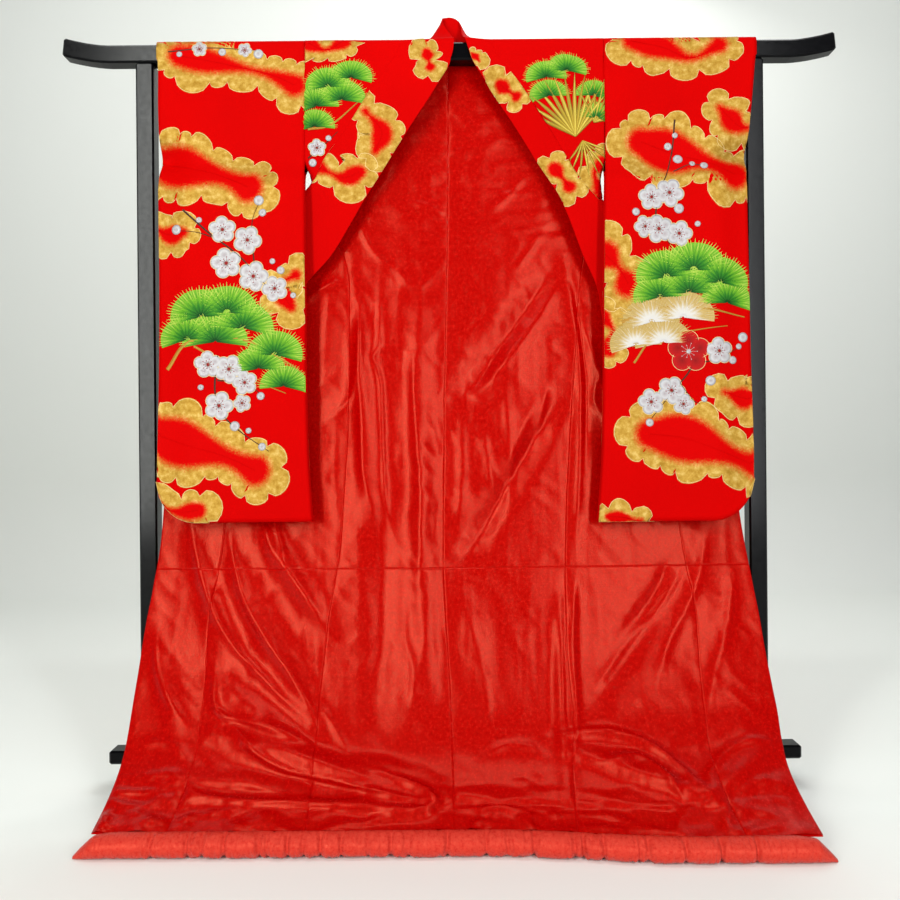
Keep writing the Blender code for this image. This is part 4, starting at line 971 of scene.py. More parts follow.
def nape(look):
    """The collar's middle length, standing up behind the bar."""
    place, u = np.meshgrid(np.linspace(0.01, 3.99, 41), np.linspace(0.0, 1.0, 13), indexing="ij")
    seam = stack(read(NAPE, place, "seam"), NAPE_SEAM_Y, NECKLINE + NAPE_SEAM_LIFT)
    free = edge_place(NAPE, place)
    points = mix(seam, free, u[..., None])
    uv = np.stack([place * 0.035, u * 0.1], axis=-1)
    piece = grid_mesh("cloth_collar_neck", points, uv, look, flip=True)
    thicken(piece, COLLAR_THICK, 1.0)
    declare(piece, "collar_neck")


def sleeve_span(side):
    """The sleeve's inner and outer edge at mid height, as distances from the middle of the garment."""
    return [read(SLEEVES[side], SLEEVE_MIDDLE, edge) for edge in ("inner", "outer")]


def sleeve_bottom(side, u):
    """The height of the lower edge, which rises round the corner, at parts u of the sleeve's width."""
    inner, outer = sleeve_span(side)
    into_corner = np.maximum(mix(inner, outer, u) - (outer - SLEEVE_CORNER), 0.0) / SLEEVE_CORNER
    drop = 1 - np.sqrt(np.maximum(1 - into_corner ** 2, 0.0))
    return SLEEVES[side][-1]["h"] + SLEEVE_CORNER * drop


def sleeve_ring(side, u, fractions):
    """One turn round the sleeve at parts u of its width: up the front, over the bar, down the back."""
    table = SLEEVES[side]
    bottom = sleeve_bottom(side, u)
    closing = smooth((u - 0.72) / 0.28)

    def layer(h, front):
        depth = read(table, h, "front" if front else "back")
        middle = (read(table, h, "front") + read(table, h, "back")) / 2
        sewn = closing * (1 - smooth((h - CUFF_BOTTOM + 0.03) / 0.05))
        half = SLEEVE_EDGE_GAP / 2 * (-1 if front else 1)
        edge = read(table, h, "outer")
        if not front:
            edge = np.minimum(edge, SLEEVE_CUFF_BACK_X)
        place = mix(read(table, h, "inner"), edge, u)
        return stack(side * place, mix(depth, middle + half, sewn), h)

    levels = bottom + (SHOULDER_START - bottom) * fractions[:, None]
    h = np.linspace(SHOULDER_START, BAR_END, 26)[1:-1, None]
    depth = read(OVER_BAR, h, "y")
    edge = read(table, SLEEVE_BAR_LEVEL, "outer")
    edge = mix(edge, min(edge, SLEEVE_CUFF_BACK_X), smooth(depth / 0.02))
    bar = stack(side * mix(table[0]["inner"], edge, u), depth, read(OVER_BAR, h, "z"))
    return np.concatenate([layer(levels, True), bar, layer(levels, False)[::-1]], axis=0)


def sleeve_grid(side, step):
    """The sleeve's folded surface with its outward directions, and its columns across the width."""
    columns = np.linspace(0.0, 1.0, int(SLEEVE_WIDTH / step) + 1)
    fractions = np.linspace(0.0, 1.0, int(SLEEVE_LENGTH / step) + 1)
    ring = sleeve_ring(side, columns, fractions)
    across = np.gradient(ring, axis=1) * side
    around = np.roll(ring, -1, axis=0) - np.roll(ring, 1, axis=0)
    outward = unit(np.cross(across, around))
    inward = np.abs(ring[..., 0]) - sleeve_span(side)[0]
    front = np.arange(len(ring)) < len(fractions)
    rise = ridge_field(SLEEVE_FOLDS, inward, ring[..., 2], 0.3)
    lean = np.where(front[:, None], 1.0, -1.0) * smooth((ring[..., 2] - 0.62) / 0.06)
    lean = lean * smooth((ARMHOLE_TOP - ring[..., 2]) / 0.08)
    ring = ring + outward * (rise * lean)[..., None]
    return ring, outward, columns


def sleeve(side, tag, look):
    ring, outward, columns = sleeve_grid(side, OUTER_STEP)
    turn = np.cumsum(np.linalg.norm(np.diff(ring[:, :1], axis=0), axis=-1))
    length = np.concatenate([[0], turn])[:, None] + columns * 0
    points = ring + outward * (OUTER_FACE + OUTER_THICK)
    uv = np.stack([columns * SLEEVE_WIDTH + 0 * length, length], axis=-1)
    piece = grid_mesh(f"cloth_sleeve_{tag}", points, uv, look, flip=side > 0, wrap=True)
    thicken(piece, OUTER_THICK, -1.0)
    declare(piece, f"sleeve_{tag}")


class Batch:
    """Small raised pieces gathered on one surface in one material."""

    def __init__(self):
        self.points, self.quads, self.tones, self.places = [], [], [], []
        self.count = 0

    def add(self, points, quads, tones, places):
        self.points.append(points)
        self.quads.append(quads + self.count)
        self.tones.append(tones)
        self.places.append(places)
        self.count += len(points)


def on_sleeve(side, front):
    """A place on a sleeve's front or back as x and height, with a rise off the cloth."""
    ring, outward, columns = sleeve_grid(side, MOTIF_STEP)
    table = SLEEVES[side]
    face = int(SLEEVE_LENGTH / MOTIF_STEP) + 1
    last = len(ring) - 1
    bar_rows = last + 1 - 2 * face

    def at(x, h, rise):
        level = np.clip(h, SLEEVE_LOWEST, SHOULDER_START)
        left = read(table, level, "inner")
        right = read(table, level, "outer")
        if not front:
            right = np.minimum(right, SLEEVE_CUFF_BACK_X)
        u = np.clip((side * x - left) / (right - left), 0.0, 1.0)
        bottom = sleeve_bottom(side, u)
        part = np.clip((h - bottom) / (SHOULDER_START - bottom), 0.0, 1.0)
        above = np.clip((h - SHOULDER_START) / (BAR_END - SHOULDER_START), 0, 1)
        row = part * (face - 1) + above * bar_rows
        if not front:
            row = last - row
        column = u * (len(columns) - 1)
        i = np.clip(np.floor(row).astype(int), 0, last - 1)
        j = np.clip(np.floor(column).astype(int), 0, len(columns) - 2)
        a = (row - i)[..., None]
        b = (column - j)[..., None]

        def blend(grid):
            return mix(mix(grid[i, j], grid[i + 1, j], a), mix(grid[i, j + 1], grid[i + 1, j + 1], a), b)

        return blend(ring) + unit(blend(outward)) * (OUTER_FACE + OUTER_THICK + rise)[..., None]

    return at


def on_outer_face(side, place, h, rise):
    """A point off the outer face. Motifs are coarser than the cloth, so they bridge its deepest troughs."""
    point = garment_point(side, place, h)
    normal = garment_normal(side, place, h)
    form = outer_form(point[..., 0], h)
    out = OUTER_FACE + OUTER_THICK + rise + TROUGH_CLEARANCE * np.maximum(-form, 0.0)
    return point + normal * (form - out)[..., None]


def on_body(side, first):
    """A place on the outer face of the back (0), the front's shoulder (1) or the collar (3)."""
    def at(x, h, rise):
        def edge(neck, seam):
            above = side * read(NECK[side], h, neck)
            return np.where(h > SHOULDER_START, above, read(SEAMS[side], h, seam))

        if first == 0:
            middle = read(CENTRE_SEAM, h, "x")
            far = side * read(SEAMS[side], np.minimum(h, NECKLINE), "side")
            place = (x - middle) / (far - middle)
            h = np.minimum(h, NECKLINE - 0.001)
        elif first == 1:
            armhole = read(SEAMS[side], h, "side")
            place = 1 + (armhole - side * x) / (armhole - edge("seam", "seam"))
        else:
            seam = edge("seam", "seam")
            place = 3 + (seam - side * x) / (seam - edge("x", "free"))
        place = np.clip(place, first + 0.0005, first + 0.9995)
        return on_outer_face(side, place, np.minimum(h, BAR_END - 0.001), rise)

    return at


def on_opened(side):
    """A place on the outer face of the opened front and okumi, seen from behind beside the back."""
    def at(x, h, rise):
        row, outward, whole = front_row(side, h)
        part = np.clip((side * x - row["side"]) / whole, 0.001, np.minimum(outward / whole, 0.97))
        okumi, collar = front_parts(side, h)
        past = 2 + (part - okumi) / np.maximum(collar - okumi, 1e-4)
        place = np.clip(np.where(part < okumi, 1 + part / okumi, past), 1.001, 2.999)
        return on_outer_face(side, place, h, rise)

    return at


def run_of(line):
    """The distance from a line's start to each of its points."""
    return np.concatenate([[0], np.cumsum(np.linalg.norm(np.diff(line, axis=0), axis=1))])


def points_at(wanted, run, line):
    return np.stack([np.interp(wanted, run, line[:, k]) for k in (0, 1)], axis=-1)


def curve(places, count):
    """Points spread evenly along a smooth line through a few places."""
    p = np.array(places, float)
    if len(p) == 2:
        return mix(p[0], p[1], np.linspace(0, 1, count)[:, None])
    ends = np.vstack([2 * p[0] - p[1], p, 2 * p[-1] - p[-2]])
    out = []
    for i in range(1, len(ends) - 2):
        t = np.linspace(0, 1, 16, endpoint=False)[:, None]
        a, b, c, d = ends[i - 1:i + 3]
        out.append(0.5 * (2 * b + (c - a) * t + (2 * a - 5 * b + 4 * c - d) * t * t
                          + (3 * b - a - 3 * c + d) * t ** 3))
    line = np.vstack(out + [p[-1:]])
    run = run_of(line)
    return points_at(np.linspace(0, run[-1], count), run, line)


def side_of(line):
    """Unit normals on the left of a line in the plane."""
    along = unit(np.gradient(line, axis=0))
    return np.stack([-along[:, 1], along[:, 0]], axis=-1)


def patch(rows, tones, places):
    """Quads over an array of rows and columns of (x, height, rise)."""
    count, columns = rows.shape[:2]
    quads = grid_quads(np.arange(count * columns).reshape(count, columns))[:, [0, 3, 2, 1]]
    tones = np.broadcast_to(tones, (count, columns)).reshape(-1)
    return rows.reshape(-1, 3), quads, tones, places.reshape(-1, 2)


def ribbon(line, widths, base, top, across=5):
    """A raised thread or branch along a line."""
    normal = side_of(line)
    v = np.linspace(-1, 1, across)
    xy = line[:, None] + normal[:, None] * (v[None, :, None] * np.asarray(widths)[:, None, None] / 2)
    rise = base + top * (1 - v[None] ** 2) + np.zeros((len(line), 1))
    places = np.stack(np.broadcast_arrays(run_of(line)[:, None], v[None] * 0.002), axis=-1)
    return patch(np.concatenate([xy, rise[..., None]], axis=-1), 1.0, places)


def dome(centre, radius, base, top, rings, sides, turn=0.0):
    """A low round mound, such as a petal, a bud or a flower's heart."""
    r = np.linspace(0.02, 1, rings + 1)[:, None]
    a = np.linspace(0, 2 * math.pi, sides + 1)[None]
    u = r * np.cos(a)
    v = r * np.sin(a)
    x = centre[0] + radius * (u * math.cos(turn) - v * math.sin(turn))
    h = centre[1] + radius * (u * math.sin(turn) + v * math.cos(turn))
    rise = base + top * np.sqrt(np.maximum(1.02 - r ** 2, 0)) + 0 * a
    places = np.stack(np.broadcast_arrays(a * 0.01, r * radius), axis=-1)
    return patch(np.stack([x, h, rise], axis=-1), 1 - r + 0 * a, places)


def petal_rim(centre, radius):
    """A raised thread round a petal."""
    a = np.linspace(0, 2 * math.pi, 25)
    line = np.stack([centre[0] + radius * np.cos(a), centre[1] + radius * np.sin(a)], axis=-1)
    return ribbon(line, np.full(len(line), RIM_WIDTH), 0.0009, 0.0006, 3)


def cloud_outline(spine, radius):
    """The outline round a curved cloud arm, and the same outline shrunk towards its middle."""
    line = curve(spine, CLOUD_POINTS)
    normal = side_of(line)
    half = math.pi * np.linspace(0, 1, 14)[1:-1]
    across = np.cos(half)[:, None]
    onward = np.sin(half)[:, None]
    start = unit(line[:1] - line[1:2])
    end = unit(line[-1:] - line[-2:-1])
    # The arm swells and narrows along its length
    swell = 1 + 0.26 * np.sin(np.linspace(0.6, 7.0, CLOUD_POINTS) + radius * 300)

    def around(r):
        wide = r * swell[:, None]
        left = line + normal * wide
        right = line - normal * wide
        tip = line[-1] + wide[-1] * (across * normal[-1] + onward * end[0])
        tail = line[0] - wide[0] * (across * normal[0] - onward * start[0])
        return np.vstack([left, tip, right[::-1], tail, left[:1]])

    return around(radius), around(radius * CLOUD_HEART)


def cloud(batches, spine, radius, seed):
    """A scalloped cloud: gold at its crisp outer edge, fading to red inside."""
    outer, inner = cloud_outline(spine, radius)
    random = np.random.RandomState(seed)
    run = run_of(outer)
    count = max(int(round(run[-1] / CLOUD_LOBE)), 5)
    steps = 1 + LOBE_SPREAD * (random.rand(count) - 0.5) * 2
    cuts = np.concatenate([[0], np.cumsum(steps)]) / steps.sum() * run[-1]
    edge, heart, bulges = [], [], []
    for low, high in zip(cuts, cuts[1:]):
        t = np.linspace(0, 1, 9)[:-1]
        at = mix(low, high, t)
        base = points_at(at, run, outer)
        core = points_at(at, run, inner)
        away = unit(base - core)
        bulge = (high - low) * LOBE_BULGE * np.sqrt(np.maximum(1 - (2 * t - 1) ** 2, 0.0))
        bulges.append(bulge)
        edge.append(base + away * bulge[:, None])
        heart.append(core)
    edge = np.vstack(edge + [edge[0][:1]])
    heart = np.vstack(heart + [heart[0][:1]])
    v = np.linspace(0, 1, 10)
    xy = mix(edge[:, None], heart[:, None], v[None, :, None])
    rise = 0.00045 + 0.0004 * np.clip(1 - v * 4, 0, 1)[None] + np.zeros((len(edge), 1))
    rise[:, 0] = 0.0001
    # The gold fades with the distance from the smooth outline that the scallops stand on
    bulges = np.append(np.concatenate(bulges), 0.0)
    depth = np.linalg.norm(edge - heart, axis=1)[:, None] * v[None] - bulges[:, None]
    tones = np.clip(CLOUD_TONE - np.maximum(depth, 0) / min(CLOUD_BAND, 1.25 * radius), 0, 1)
    batches["gold_leaf"].add(*patch(np.concatenate([xy, rise[..., None]], -1), tones, xy))
    rim = mix(edge, heart, 0.02)
    batches["pale_gold_thread"].add(*ribbon(rim, np.full(len(rim), RIM_WIDTH), 0.0005, 0.0006, 3))


def branch(batches, places, width, look="branch_thread"):
    """A twig or bough that tapers to its tip."""
    line = curve(places, 12 * len(places))
    taper = width * np.linspace(1.0, 0.35, len(line))
    batches[look].add(*ribbon(line, taper, 0.0005, 0.0009, 5))


def blossom(batches, x, h, size, turn, look="silver_thread", heart="maroon_thread"):
    """A plum blossom: five round petals about a small dark heart with stamens."""
    petal = size * PETAL_RADIUS
    for k in range(5):
        angle = turn + 2 * math.pi * k / 5
        centre = (x + size * PETAL_PLACE * math.cos(angle), h + size * PETAL_PLACE * math.sin(angle))
        batches[look].add(*dome(centre, petal, 0.0006 + 0.00012 * (k % 2), 0.0013, 4, 20, angle))
        batches["pale_gold_thread"].add(*petal_rim(centre, petal))
    for k in range(10):
        angle = turn + 2 * math.pi * (k + 0.5) / 10
        reach = size * (0.15 + 0.05 * (k % 2))
        tip = (x + reach * math.cos(angle), h + reach * math.sin(angle))
        line = curve([(x, h), tip], 5)
        batches[heart].add(*ribbon(line, np.full(5, 0.0006), 0.0018, 0.0004, 3))
        batches[heart].add(*dome(tip, 0.0012, 0.0019, 0.0006, 2, 8))
    batches[heart].add(*dome((x, h), size * HEART_RADIUS, 0.0017, 0.0010, 3, 12))


def bud(batches, x, h, size):
    """A round silver bud."""
    batches["silver_thread"].add(*dome((x, h), size, 0.0006, 0.0016, 4, 14))


def pine(batches, x, h, size, lean, look, seed):
    """A pine tuft: a half round of needles over a dark heart."""
    size = size * PINE_SCALE
    random = np.random.RandomState(seed)
    a = np.linspace(-0.06, 1.06, 19)[:, None] * math.pi + lean
    r = np.linspace(0.03, 0.86, 6)[None]
    xs = x + size * r * np.cos(a)
    hs = h + size * r * np.sin(a) * PINE_FLATTENING
    rise = 0.0005 + 0.0006 * (1 - r) + 0 * a
    tones = r * 0.8 + 0 * a
    batches[look].add(*patch(np.stack([xs, hs, rise], -1), tones, np.stack([xs, hs], -1)))
    width = size * np.array([0.030, 0.055, 0.045, 0.006])
    s = np.linspace(0, 1, 4)
    for row, reach, count in NEEDLE_ROWS:
        for k in range(count):
            angle = lean + math.pi * (-0.04 + 1.08 * (k + 0.5) / count) + 0.05 * (random.rand() - 0.5)
            long = size * reach * (0.92 + 0.12 * random.rand())
            run = mix(size * 0.10, long, s)
            line = np.stack([x + run * math.cos(angle), h + run * math.sin(angle) * PINE_FLATTENING], -1)
            points, quads, _, places = ribbon(line, width, 0.0009 + row, 0.0007, 3)
            tones = np.repeat(mix(0.10, 1.0, s) * reach + 0.12 * (k % 2), 3)
            batches[look].add(points, quads, np.clip(tones, 0, 1), places)


def pines(batches, seed, tufts, look="pine_thread"):
    """Pine tufts from their x, height, size and lean."""
    for k, (x, h, size, lean) in enumerate(tufts):
        pine(batches, x, h, size, lean, look, seed + k)


def clump(batches, seed, x, h, size, steps):
    """Pine tufts round one place, leaning away from it."""
    pines(batches, seed, [(x + dx, h + dh, size, -dx * 3) for dx, dh in steps])


def leaf_spray(batches, x, h, size, lean, count):
    """Long gold leaves that open from one place."""
    for k in range(count):
        angle = lean + 1.9 * ((k + 0.5) / count - 0.5)
        long = size * (0.75 + 0.25 * math.cos(3 * (k / count - 0.5)))
        s = np.linspace(0, 1, 9)
        bend = 0.22 * (k / count - 0.5) * s ** 2
        line = np.stack([x + long * s * np.cos(angle + bend), h + long * s * np.sin(angle + bend)], -1)
        width = size * 0.060 * np.sin(np.pi * (0.12 + 0.86 * s))
        points, quads, _, places = ribbon(line, width, 0.0008 + 0.0002 * (k % 3), 0.0010, 5)
        tones = np.tile([0.0, 0.6, 1.0, 0.6, 0.0], len(line)) * (0.6 + 0.4 * (k % 2))
        batches["gold_thread"].add(points, quads, tones, places)


def spray_of_plum(batches, branches, flowers, buds):
    """Plum twigs with their width, flowers with their size, and buds."""
    for places, width in branches:
        branch(batches, places, width)
    for k, (x, h) in enumerate(buds):
        bud(batches, x, h, 0.0065 + 0.0022 * (k % 3))
    for k, (x, h, size) in enumerate(flowers):
        blossom(batches, x, h, size, 0.4 + 0.7 * k)


def decor_left_sleeve(b):
    """Clouds, a plum spray above and below a bough of pine."""
    cloud(b, [(-0.6, 1.63), (-0.5, 1.61), (-0.4, 1.585), (-0.345, 1.56)], 0.042, 1)
    cloud(b, [(-0.665, 1.395), (-0.58, 1.37), (-0.5, 1.35), (-0.445, 1.325)], 0.06, 2)
    cloud(b, [(-0.665, 1.245), (-0.62, 1.222), (-0.585, 1.225)], 0.03, 3)
    cloud(b, [(-0.34, 1.13), (-0.375, 1.105), (-0.35, 1.06)], 0.03, 4)
    cloud(b, [(-0.66, 0.79), (-0.575, 0.76), (-0.49, 0.735), (-0.425, 0.705)], 0.06, 5)
    cloud(b, [(-0.655, 0.64), (-0.595, 0.618), (-0.545, 0.62)], 0.026, 6)
    spray_of_plum(
        b,
        branches=[([(-0.625, 1.64), (-0.53, 1.648), (-0.42, 1.64)], 0.003)],
        flowers=[(-0.555, 1.645, 0.034), (-0.455, 1.642, 0.032)],
        buds=[(-0.6, 1.634), (-0.505, 1.638), (-0.425, 1.633)],
    )
    spray_of_plum(
        b,
        branches=[([(-0.585, 1.275), (-0.53, 1.225), (-0.46, 1.17), (-0.385, 1.085)], 0.0045),
                  ([(-0.43, 1.15), (-0.435, 1.245), (-0.415, 1.3)], 0.003),
                  ([(-0.52, 1.215), (-0.555, 1.225), (-0.6, 1.23)], 0.0025)],
        flowers=[(-0.5, 1.232, 0.06), (-0.445, 1.208, 0.064), (-0.492, 1.158, 0.068),
                 (-0.432, 1.128, 0.068), (-0.385, 1.1, 0.058)],
        buds=[(-0.55, 1.252), (-0.412, 1.268), (-0.42, 1.295), (-0.39, 1.16), (-0.372, 1.14),
              (-0.6, 1.232), (-0.345, 1.085)],
    )
    branch(b, [(-0.62, 0.925), (-0.57, 0.985), (-0.46, 0.99), (-0.37, 0.945), (-0.325, 0.915)], 0.008,
           "bark_thread")
    branch(b, [(-0.56, 0.975), (-0.5, 0.94), (-0.43, 0.9), (-0.36, 0.87)], 0.005, "bark_thread")
    pines(b, 20, [
        (-0.545, 1.04, 0.068, 0.2), (-0.49, 1.05, 0.066, -0.05), (-0.455, 1.015, 0.066, -0.15),
        (-0.575, 0.99, 0.06, 0.15), (-0.515, 0.985, 0.07, 0.02), (-0.385, 0.955, 0.06, -0.12),
        (-0.42, 0.925, 0.056, 0.05), (-0.365, 0.885, 0.052, -0.1),
    ])
    spray_of_plum(
        b,
        branches=[([(-0.51, 0.955), (-0.515, 0.88), (-0.5, 0.83), (-0.46, 0.79), (-0.395, 0.745)], 0.0045),
                  ([(-0.51, 0.9), (-0.45, 0.895), (-0.405, 0.86)], 0.003)],
        flowers=[(-0.53, 0.935, 0.06), (-0.485, 0.925, 0.064), (-0.45, 0.895, 0.056),
                 (-0.505, 0.845, 0.064), (-0.455, 0.85, 0.04)],
        buds=[(-0.545, 0.885), (-0.415, 0.865), (-0.47, 0.8), (-0.44, 0.79), (-0.41, 0.755)],
    )


def decor_right_sleeve(b):
    """Clouds, plum sprays, a green and a white bough of pine, and one crimson blossom."""
    cloud(b, [(0.405, 1.655), (0.475, 1.64), (0.54, 1.615), (0.6, 1.645)], 0.04, 11)
    cloud(b, [(0.425, 1.425), (0.49, 1.4), (0.555, 1.38), (0.625, 1.345)], 0.06, 12)
    cloud(b, [(0.6, 1.5), (0.64, 1.46), (0.672, 1.455)], 0.036, 13)
    cloud(b, [(0.335, 1.17), (0.365, 1.14), (0.385, 1.105)], 0.044, 14)
    cloud(b, [(0.33, 1.03), (0.352, 1.0), (0.34, 0.96)], 0.026, 15)
    cloud(b, [(0.425, 0.775), (0.5, 0.765), (0.58, 0.735), (0.665, 0.7)], 0.06, 16)
    cloud(b, [(0.59, 0.865), (0.64, 0.85), (0.67, 0.86)], 0.034, 17)
    cloud(b, [(0.33, 0.6), (0.37, 0.597), (0.4, 0.59)], 0.018, 18)
    spray_of_plum(
        b,
        branches=[([(0.5, 1.475), (0.492, 1.4), (0.47, 1.335), (0.435, 1.29)], 0.004),
                  ([(0.492, 1.355), (0.53, 1.37), (0.56, 1.365)], 0.003),
                  ([(0.455, 1.3), (0.45, 1.24), (0.48, 1.19)], 0.004)],
        flowers=[(0.44, 1.295, 0.058), (0.48, 1.305, 0.064), (0.455, 1.225, 0.064), (0.5, 1.215, 0.058),
                 (0.425, 1.23, 0.05)],
        buds=[(0.5, 1.44), (0.484, 1.415), (0.505, 1.385), (0.535, 1.372), (0.56, 1.366), (0.5, 1.27),
              (0.54, 1.235), (0.405, 1.262)],
    )
    branch(b, [(0.37, 1.02), (0.45, 1.05), (0.54, 1.05), (0.64, 1.03)], 0.008, "bark_thread")
    branch(b, [(0.395, 0.93), (0.44, 0.985), (0.52, 1.0), (0.6, 1.01)], 0.005, "bark_thread")
    pines(b, 40, [
        (0.47, 1.12, 0.066, 0.15), (0.53, 1.135, 0.068, 0.0), (0.585, 1.105, 0.064, -0.12),
        (0.455, 1.075, 0.058, 0.18), (0.52, 1.085, 0.068, 0.02), (0.6, 1.06, 0.056, -0.14),
    ])
    pines(b, 60, [
        (0.435, 1.02, 0.062, 0.18), (0.505, 1.03, 0.066, 0.0), (0.4, 0.97, 0.056, 0.2),
        (0.46, 0.975, 0.062, 0.06),
    ], "frost_thread")
    spray_of_plum(
        b,
        branches=[([(0.535, 0.985), (0.52, 0.92), (0.48, 0.87), (0.43, 0.81)], 0.0045),
                  ([(0.515, 0.93), (0.57, 0.935), (0.62, 0.96)], 0.003),
                  ([(0.495, 0.885), (0.52, 0.85), (0.535, 0.84)], 0.003)],
        flowers=[(0.58, 0.955, 0.06), (0.475, 0.87, 0.062), (0.43, 0.845, 0.058), (0.5, 0.84, 0.048)],
        buds=[(0.625, 0.965), (0.61, 0.935), (0.635, 0.985), (0.545, 0.85), (0.425, 0.8), (0.56, 0.89)],
    )
    blossom(b, 0.515, 0.955, 0.092, 0.3, "crimson_thread", "silver_thread")


def decor_left_shoulder(b):
    """Pine over a small plum twig beside the armhole."""
    cloud(b, [(-0.315, 1.655), (-0.275, 1.64), (-0.235, 1.66)], 0.024, 21)
    branch(b, [(-0.31, 1.46), (-0.26, 1.47), (-0.2, 1.52)], 0.006, "bark_thread")
    pines(b, 80, [
        (-0.265, 1.555, 0.05, 0.1), (-0.215, 1.575, 0.046, -0.1), (-0.29, 1.51, 0.048, 0.2),
        (-0.235, 1.525, 0.052, 0.0), (-0.295, 1.465, 0.044, 0.1),
    ])
    spray_of_plum(
        b,
        branches=[([(-0.31, 1.395), (-0.275, 1.425), (-0.245, 1.455)], 0.003)],
        flowers=[(-0.29, 1.418, 0.04)],
        buds=[(-0.265, 1.44), (-0.3, 1.385)],
    )


def decor_right_shoulder(b):
    """Sprays of gold leaf among small pines."""
    cloud(b, [(0.335, 1.38), (0.315, 1.355), (0.325, 1.32)], 0.024, 22)
    leaf_spray(b, 0.275, 1.44, 0.145, 1.75, 13)
    leaf_spray(b, 0.315, 1.47, 0.1, 1.1, 9)
    leaf_spray(b, 0.29, 1.43, 0.085, -1.25, 8)
    pines(b, 100, [
        (0.212, 1.572, 0.044, 0.1), (0.256, 1.588, 0.044, -0.1), (0.218, 1.53, 0.042, 0.2),
        (0.315, 1.53, 0.04, -0.2), (0.32, 1.48, 0.04, -0.2),
    ])


def decor_left_collar(b):
    """Clouds down the collar band."""
    cloud(b, [(-0.05, 1.636), (-0.042, 1.6)], 0.02, 31)
    cloud(b, [(-0.185, 1.5), (-0.15, 1.455), (-0.165, 1.41)], 0.032, 32)
    cloud(b, [(-0.285, 1.375), (-0.235, 1.352), (-0.2, 1.365)], 0.028, 33)


def decor_right_collar(b):
    """Smaller clouds, on the narrower band."""
    cloud(b, [(0.05, 1.636), (0.066, 1.612)], 0.014, 34)
    cloud(b, [(0.112, 1.562), (0.148, 1.534)], 0.02, 35)
    cloud(b, [(0.232, 1.372), (0.262, 1.328)], 0.022, 36)


def decor_sleeve_back(side, b):
    """The sleeve's unseen side carries the same kinds of motif in another order."""
    drop = 0.07 if side > 0 else 0.0

    def m(x):
        return side * x

    cloud(b, [(m(0.37), 1.57), (m(0.46), 1.55), (m(0.55), 1.57)], 0.040, 41)
    cloud(b, [(m(0.40), 1.17 - drop), (m(0.50), 1.15 - drop), (m(0.60), 1.18 - drop)], 0.046, 42)
    cloud(b, [(m(0.36), 0.74 + drop), (m(0.46), 0.72), (m(0.57), 0.75)], 0.046, 43)
    spray_of_plum(
        b,
        branches=[([(m(0.60), 1.50), (m(0.52), 1.42), (m(0.40), 1.36)], 0.0045)],
        flowers=[(m(0.545), 1.43, 0.064), (m(0.48), 1.40, 0.068), (m(0.42), 1.35, 0.060),
                 (m(0.50), 1.33, 0.056)],
        buds=[(m(0.59), 1.48), (m(0.44), 1.42), (m(0.38), 1.33)],
    )
    branch(b, [(m(0.36), 0.95), (m(0.46), 0.99), (m(0.58), 0.98)], 0.008, "bark_thread")
    pines(b, 120, [(m(0.41), 1.00, 0.064, m(0.1)), (m(0.48), 1.04, 0.068, 0.0),
                   (m(0.56), 1.00, 0.064, m(-0.1)), (m(0.48), 0.98, 0.066, 0.0)])


def decor_back(side, b):
    """The outer back: large clouds, pines and plum sprays from the shoulders to the hem."""
    rows = {-1: [(1.50, 0.17), (1.10, 0.12), (0.72, 0.16), (0.36, 0.12)],
            1: [(1.42, 0.21), (1.03, 0.24), (0.66, 0.10), (0.30, 0.13)]}
    for k, (h, x) in enumerate(rows[side]):
        x *= side
        cloud(b, [(x - 0.085, h), (x - 0.01, h - 0.02), (x + 0.075, h + 0.015)], 0.048, 130 + k)
        cloud(b, [(x - 0.03, h - 0.11), (x + 0.05, h - 0.10)], 0.036, 140 + k)
    clumps = {-1: [(0.13, 1.30), (0.17, 0.92), (0.13, 0.54)], 1: [(0.12, 1.22), (0.12, 0.86), (0.17, 0.48)]}
    for k, (x, h) in enumerate(clumps[side]):
        x *= side
        clump(b, 150 + 10 * k, x, h, 0.066, [(-0.05, 0.0), (0.01, 0.03), (0.06, -0.005), (0.0, -0.03)])
        branch(b, [(x - 0.08, h - 0.05), (x, h - 0.03), (x + 0.09, h - 0.05)], 0.008, "bark_thread")
    plums = {-1: [(0.22, 1.24), (0.07, 0.80), (0.21, 0.47), (0.08, 0.24)],
             1: [(0.08, 1.56), (0.26, 1.24), (0.20, 0.80), (0.07, 0.40)]}
    for k, (x, h) in enumerate(plums[side]):
        x *= side
        blossom(b, x, h, 0.066, k)
        blossom(b, x + 0.055, h - 0.03, 0.056, k + 0.5)
        bud(b, x - 0.045, h + 0.012, 0.010)


def decor_opened(side, b):
    """The unseen outer face of the opened front."""
    rows = {-1: [(0.40, 0.95), (0.52, 0.66), (0.38, 0.42), (0.55, 0.30)],
            1: [(0.42, 0.86), (0.38, 0.58), (0.55, 0.46), (0.40, 0.22)]}
    for k, (x, h) in enumerate(rows[side]):
        x *= side
        cloud(b, [(x - 0.07, h), (x, h - 0.02), (x + 0.07, h + 0.01)], 0.044, 160 + k)
    clumps = {-1: [(0.36, 0.74), (0.46, 0.50)], 1: [(0.42, 0.70), (0.44, 0.36)]}
    for k, (x, h) in enumerate(clumps[side]):
        clump(b, 180 + 10 * k, side * x, h, 0.060, [(-0.04, 0.0), (0.02, 0.025), (0.05, -0.02)])
        blossom(b, side * (x + 0.10), h - 0.02, 0.062, k)
        blossom(b, side * (x + 0.14), h - 0.06, 0.056, k + 0.4)


def diagonals(corners):
    """The two diagonals of each quad."""
    first = np.linalg.norm(corners[:, 0] - corners[:, 2], axis=1)
    return first, np.linalg.norm(corners[:, 1] - corners[:, 3], axis=1)


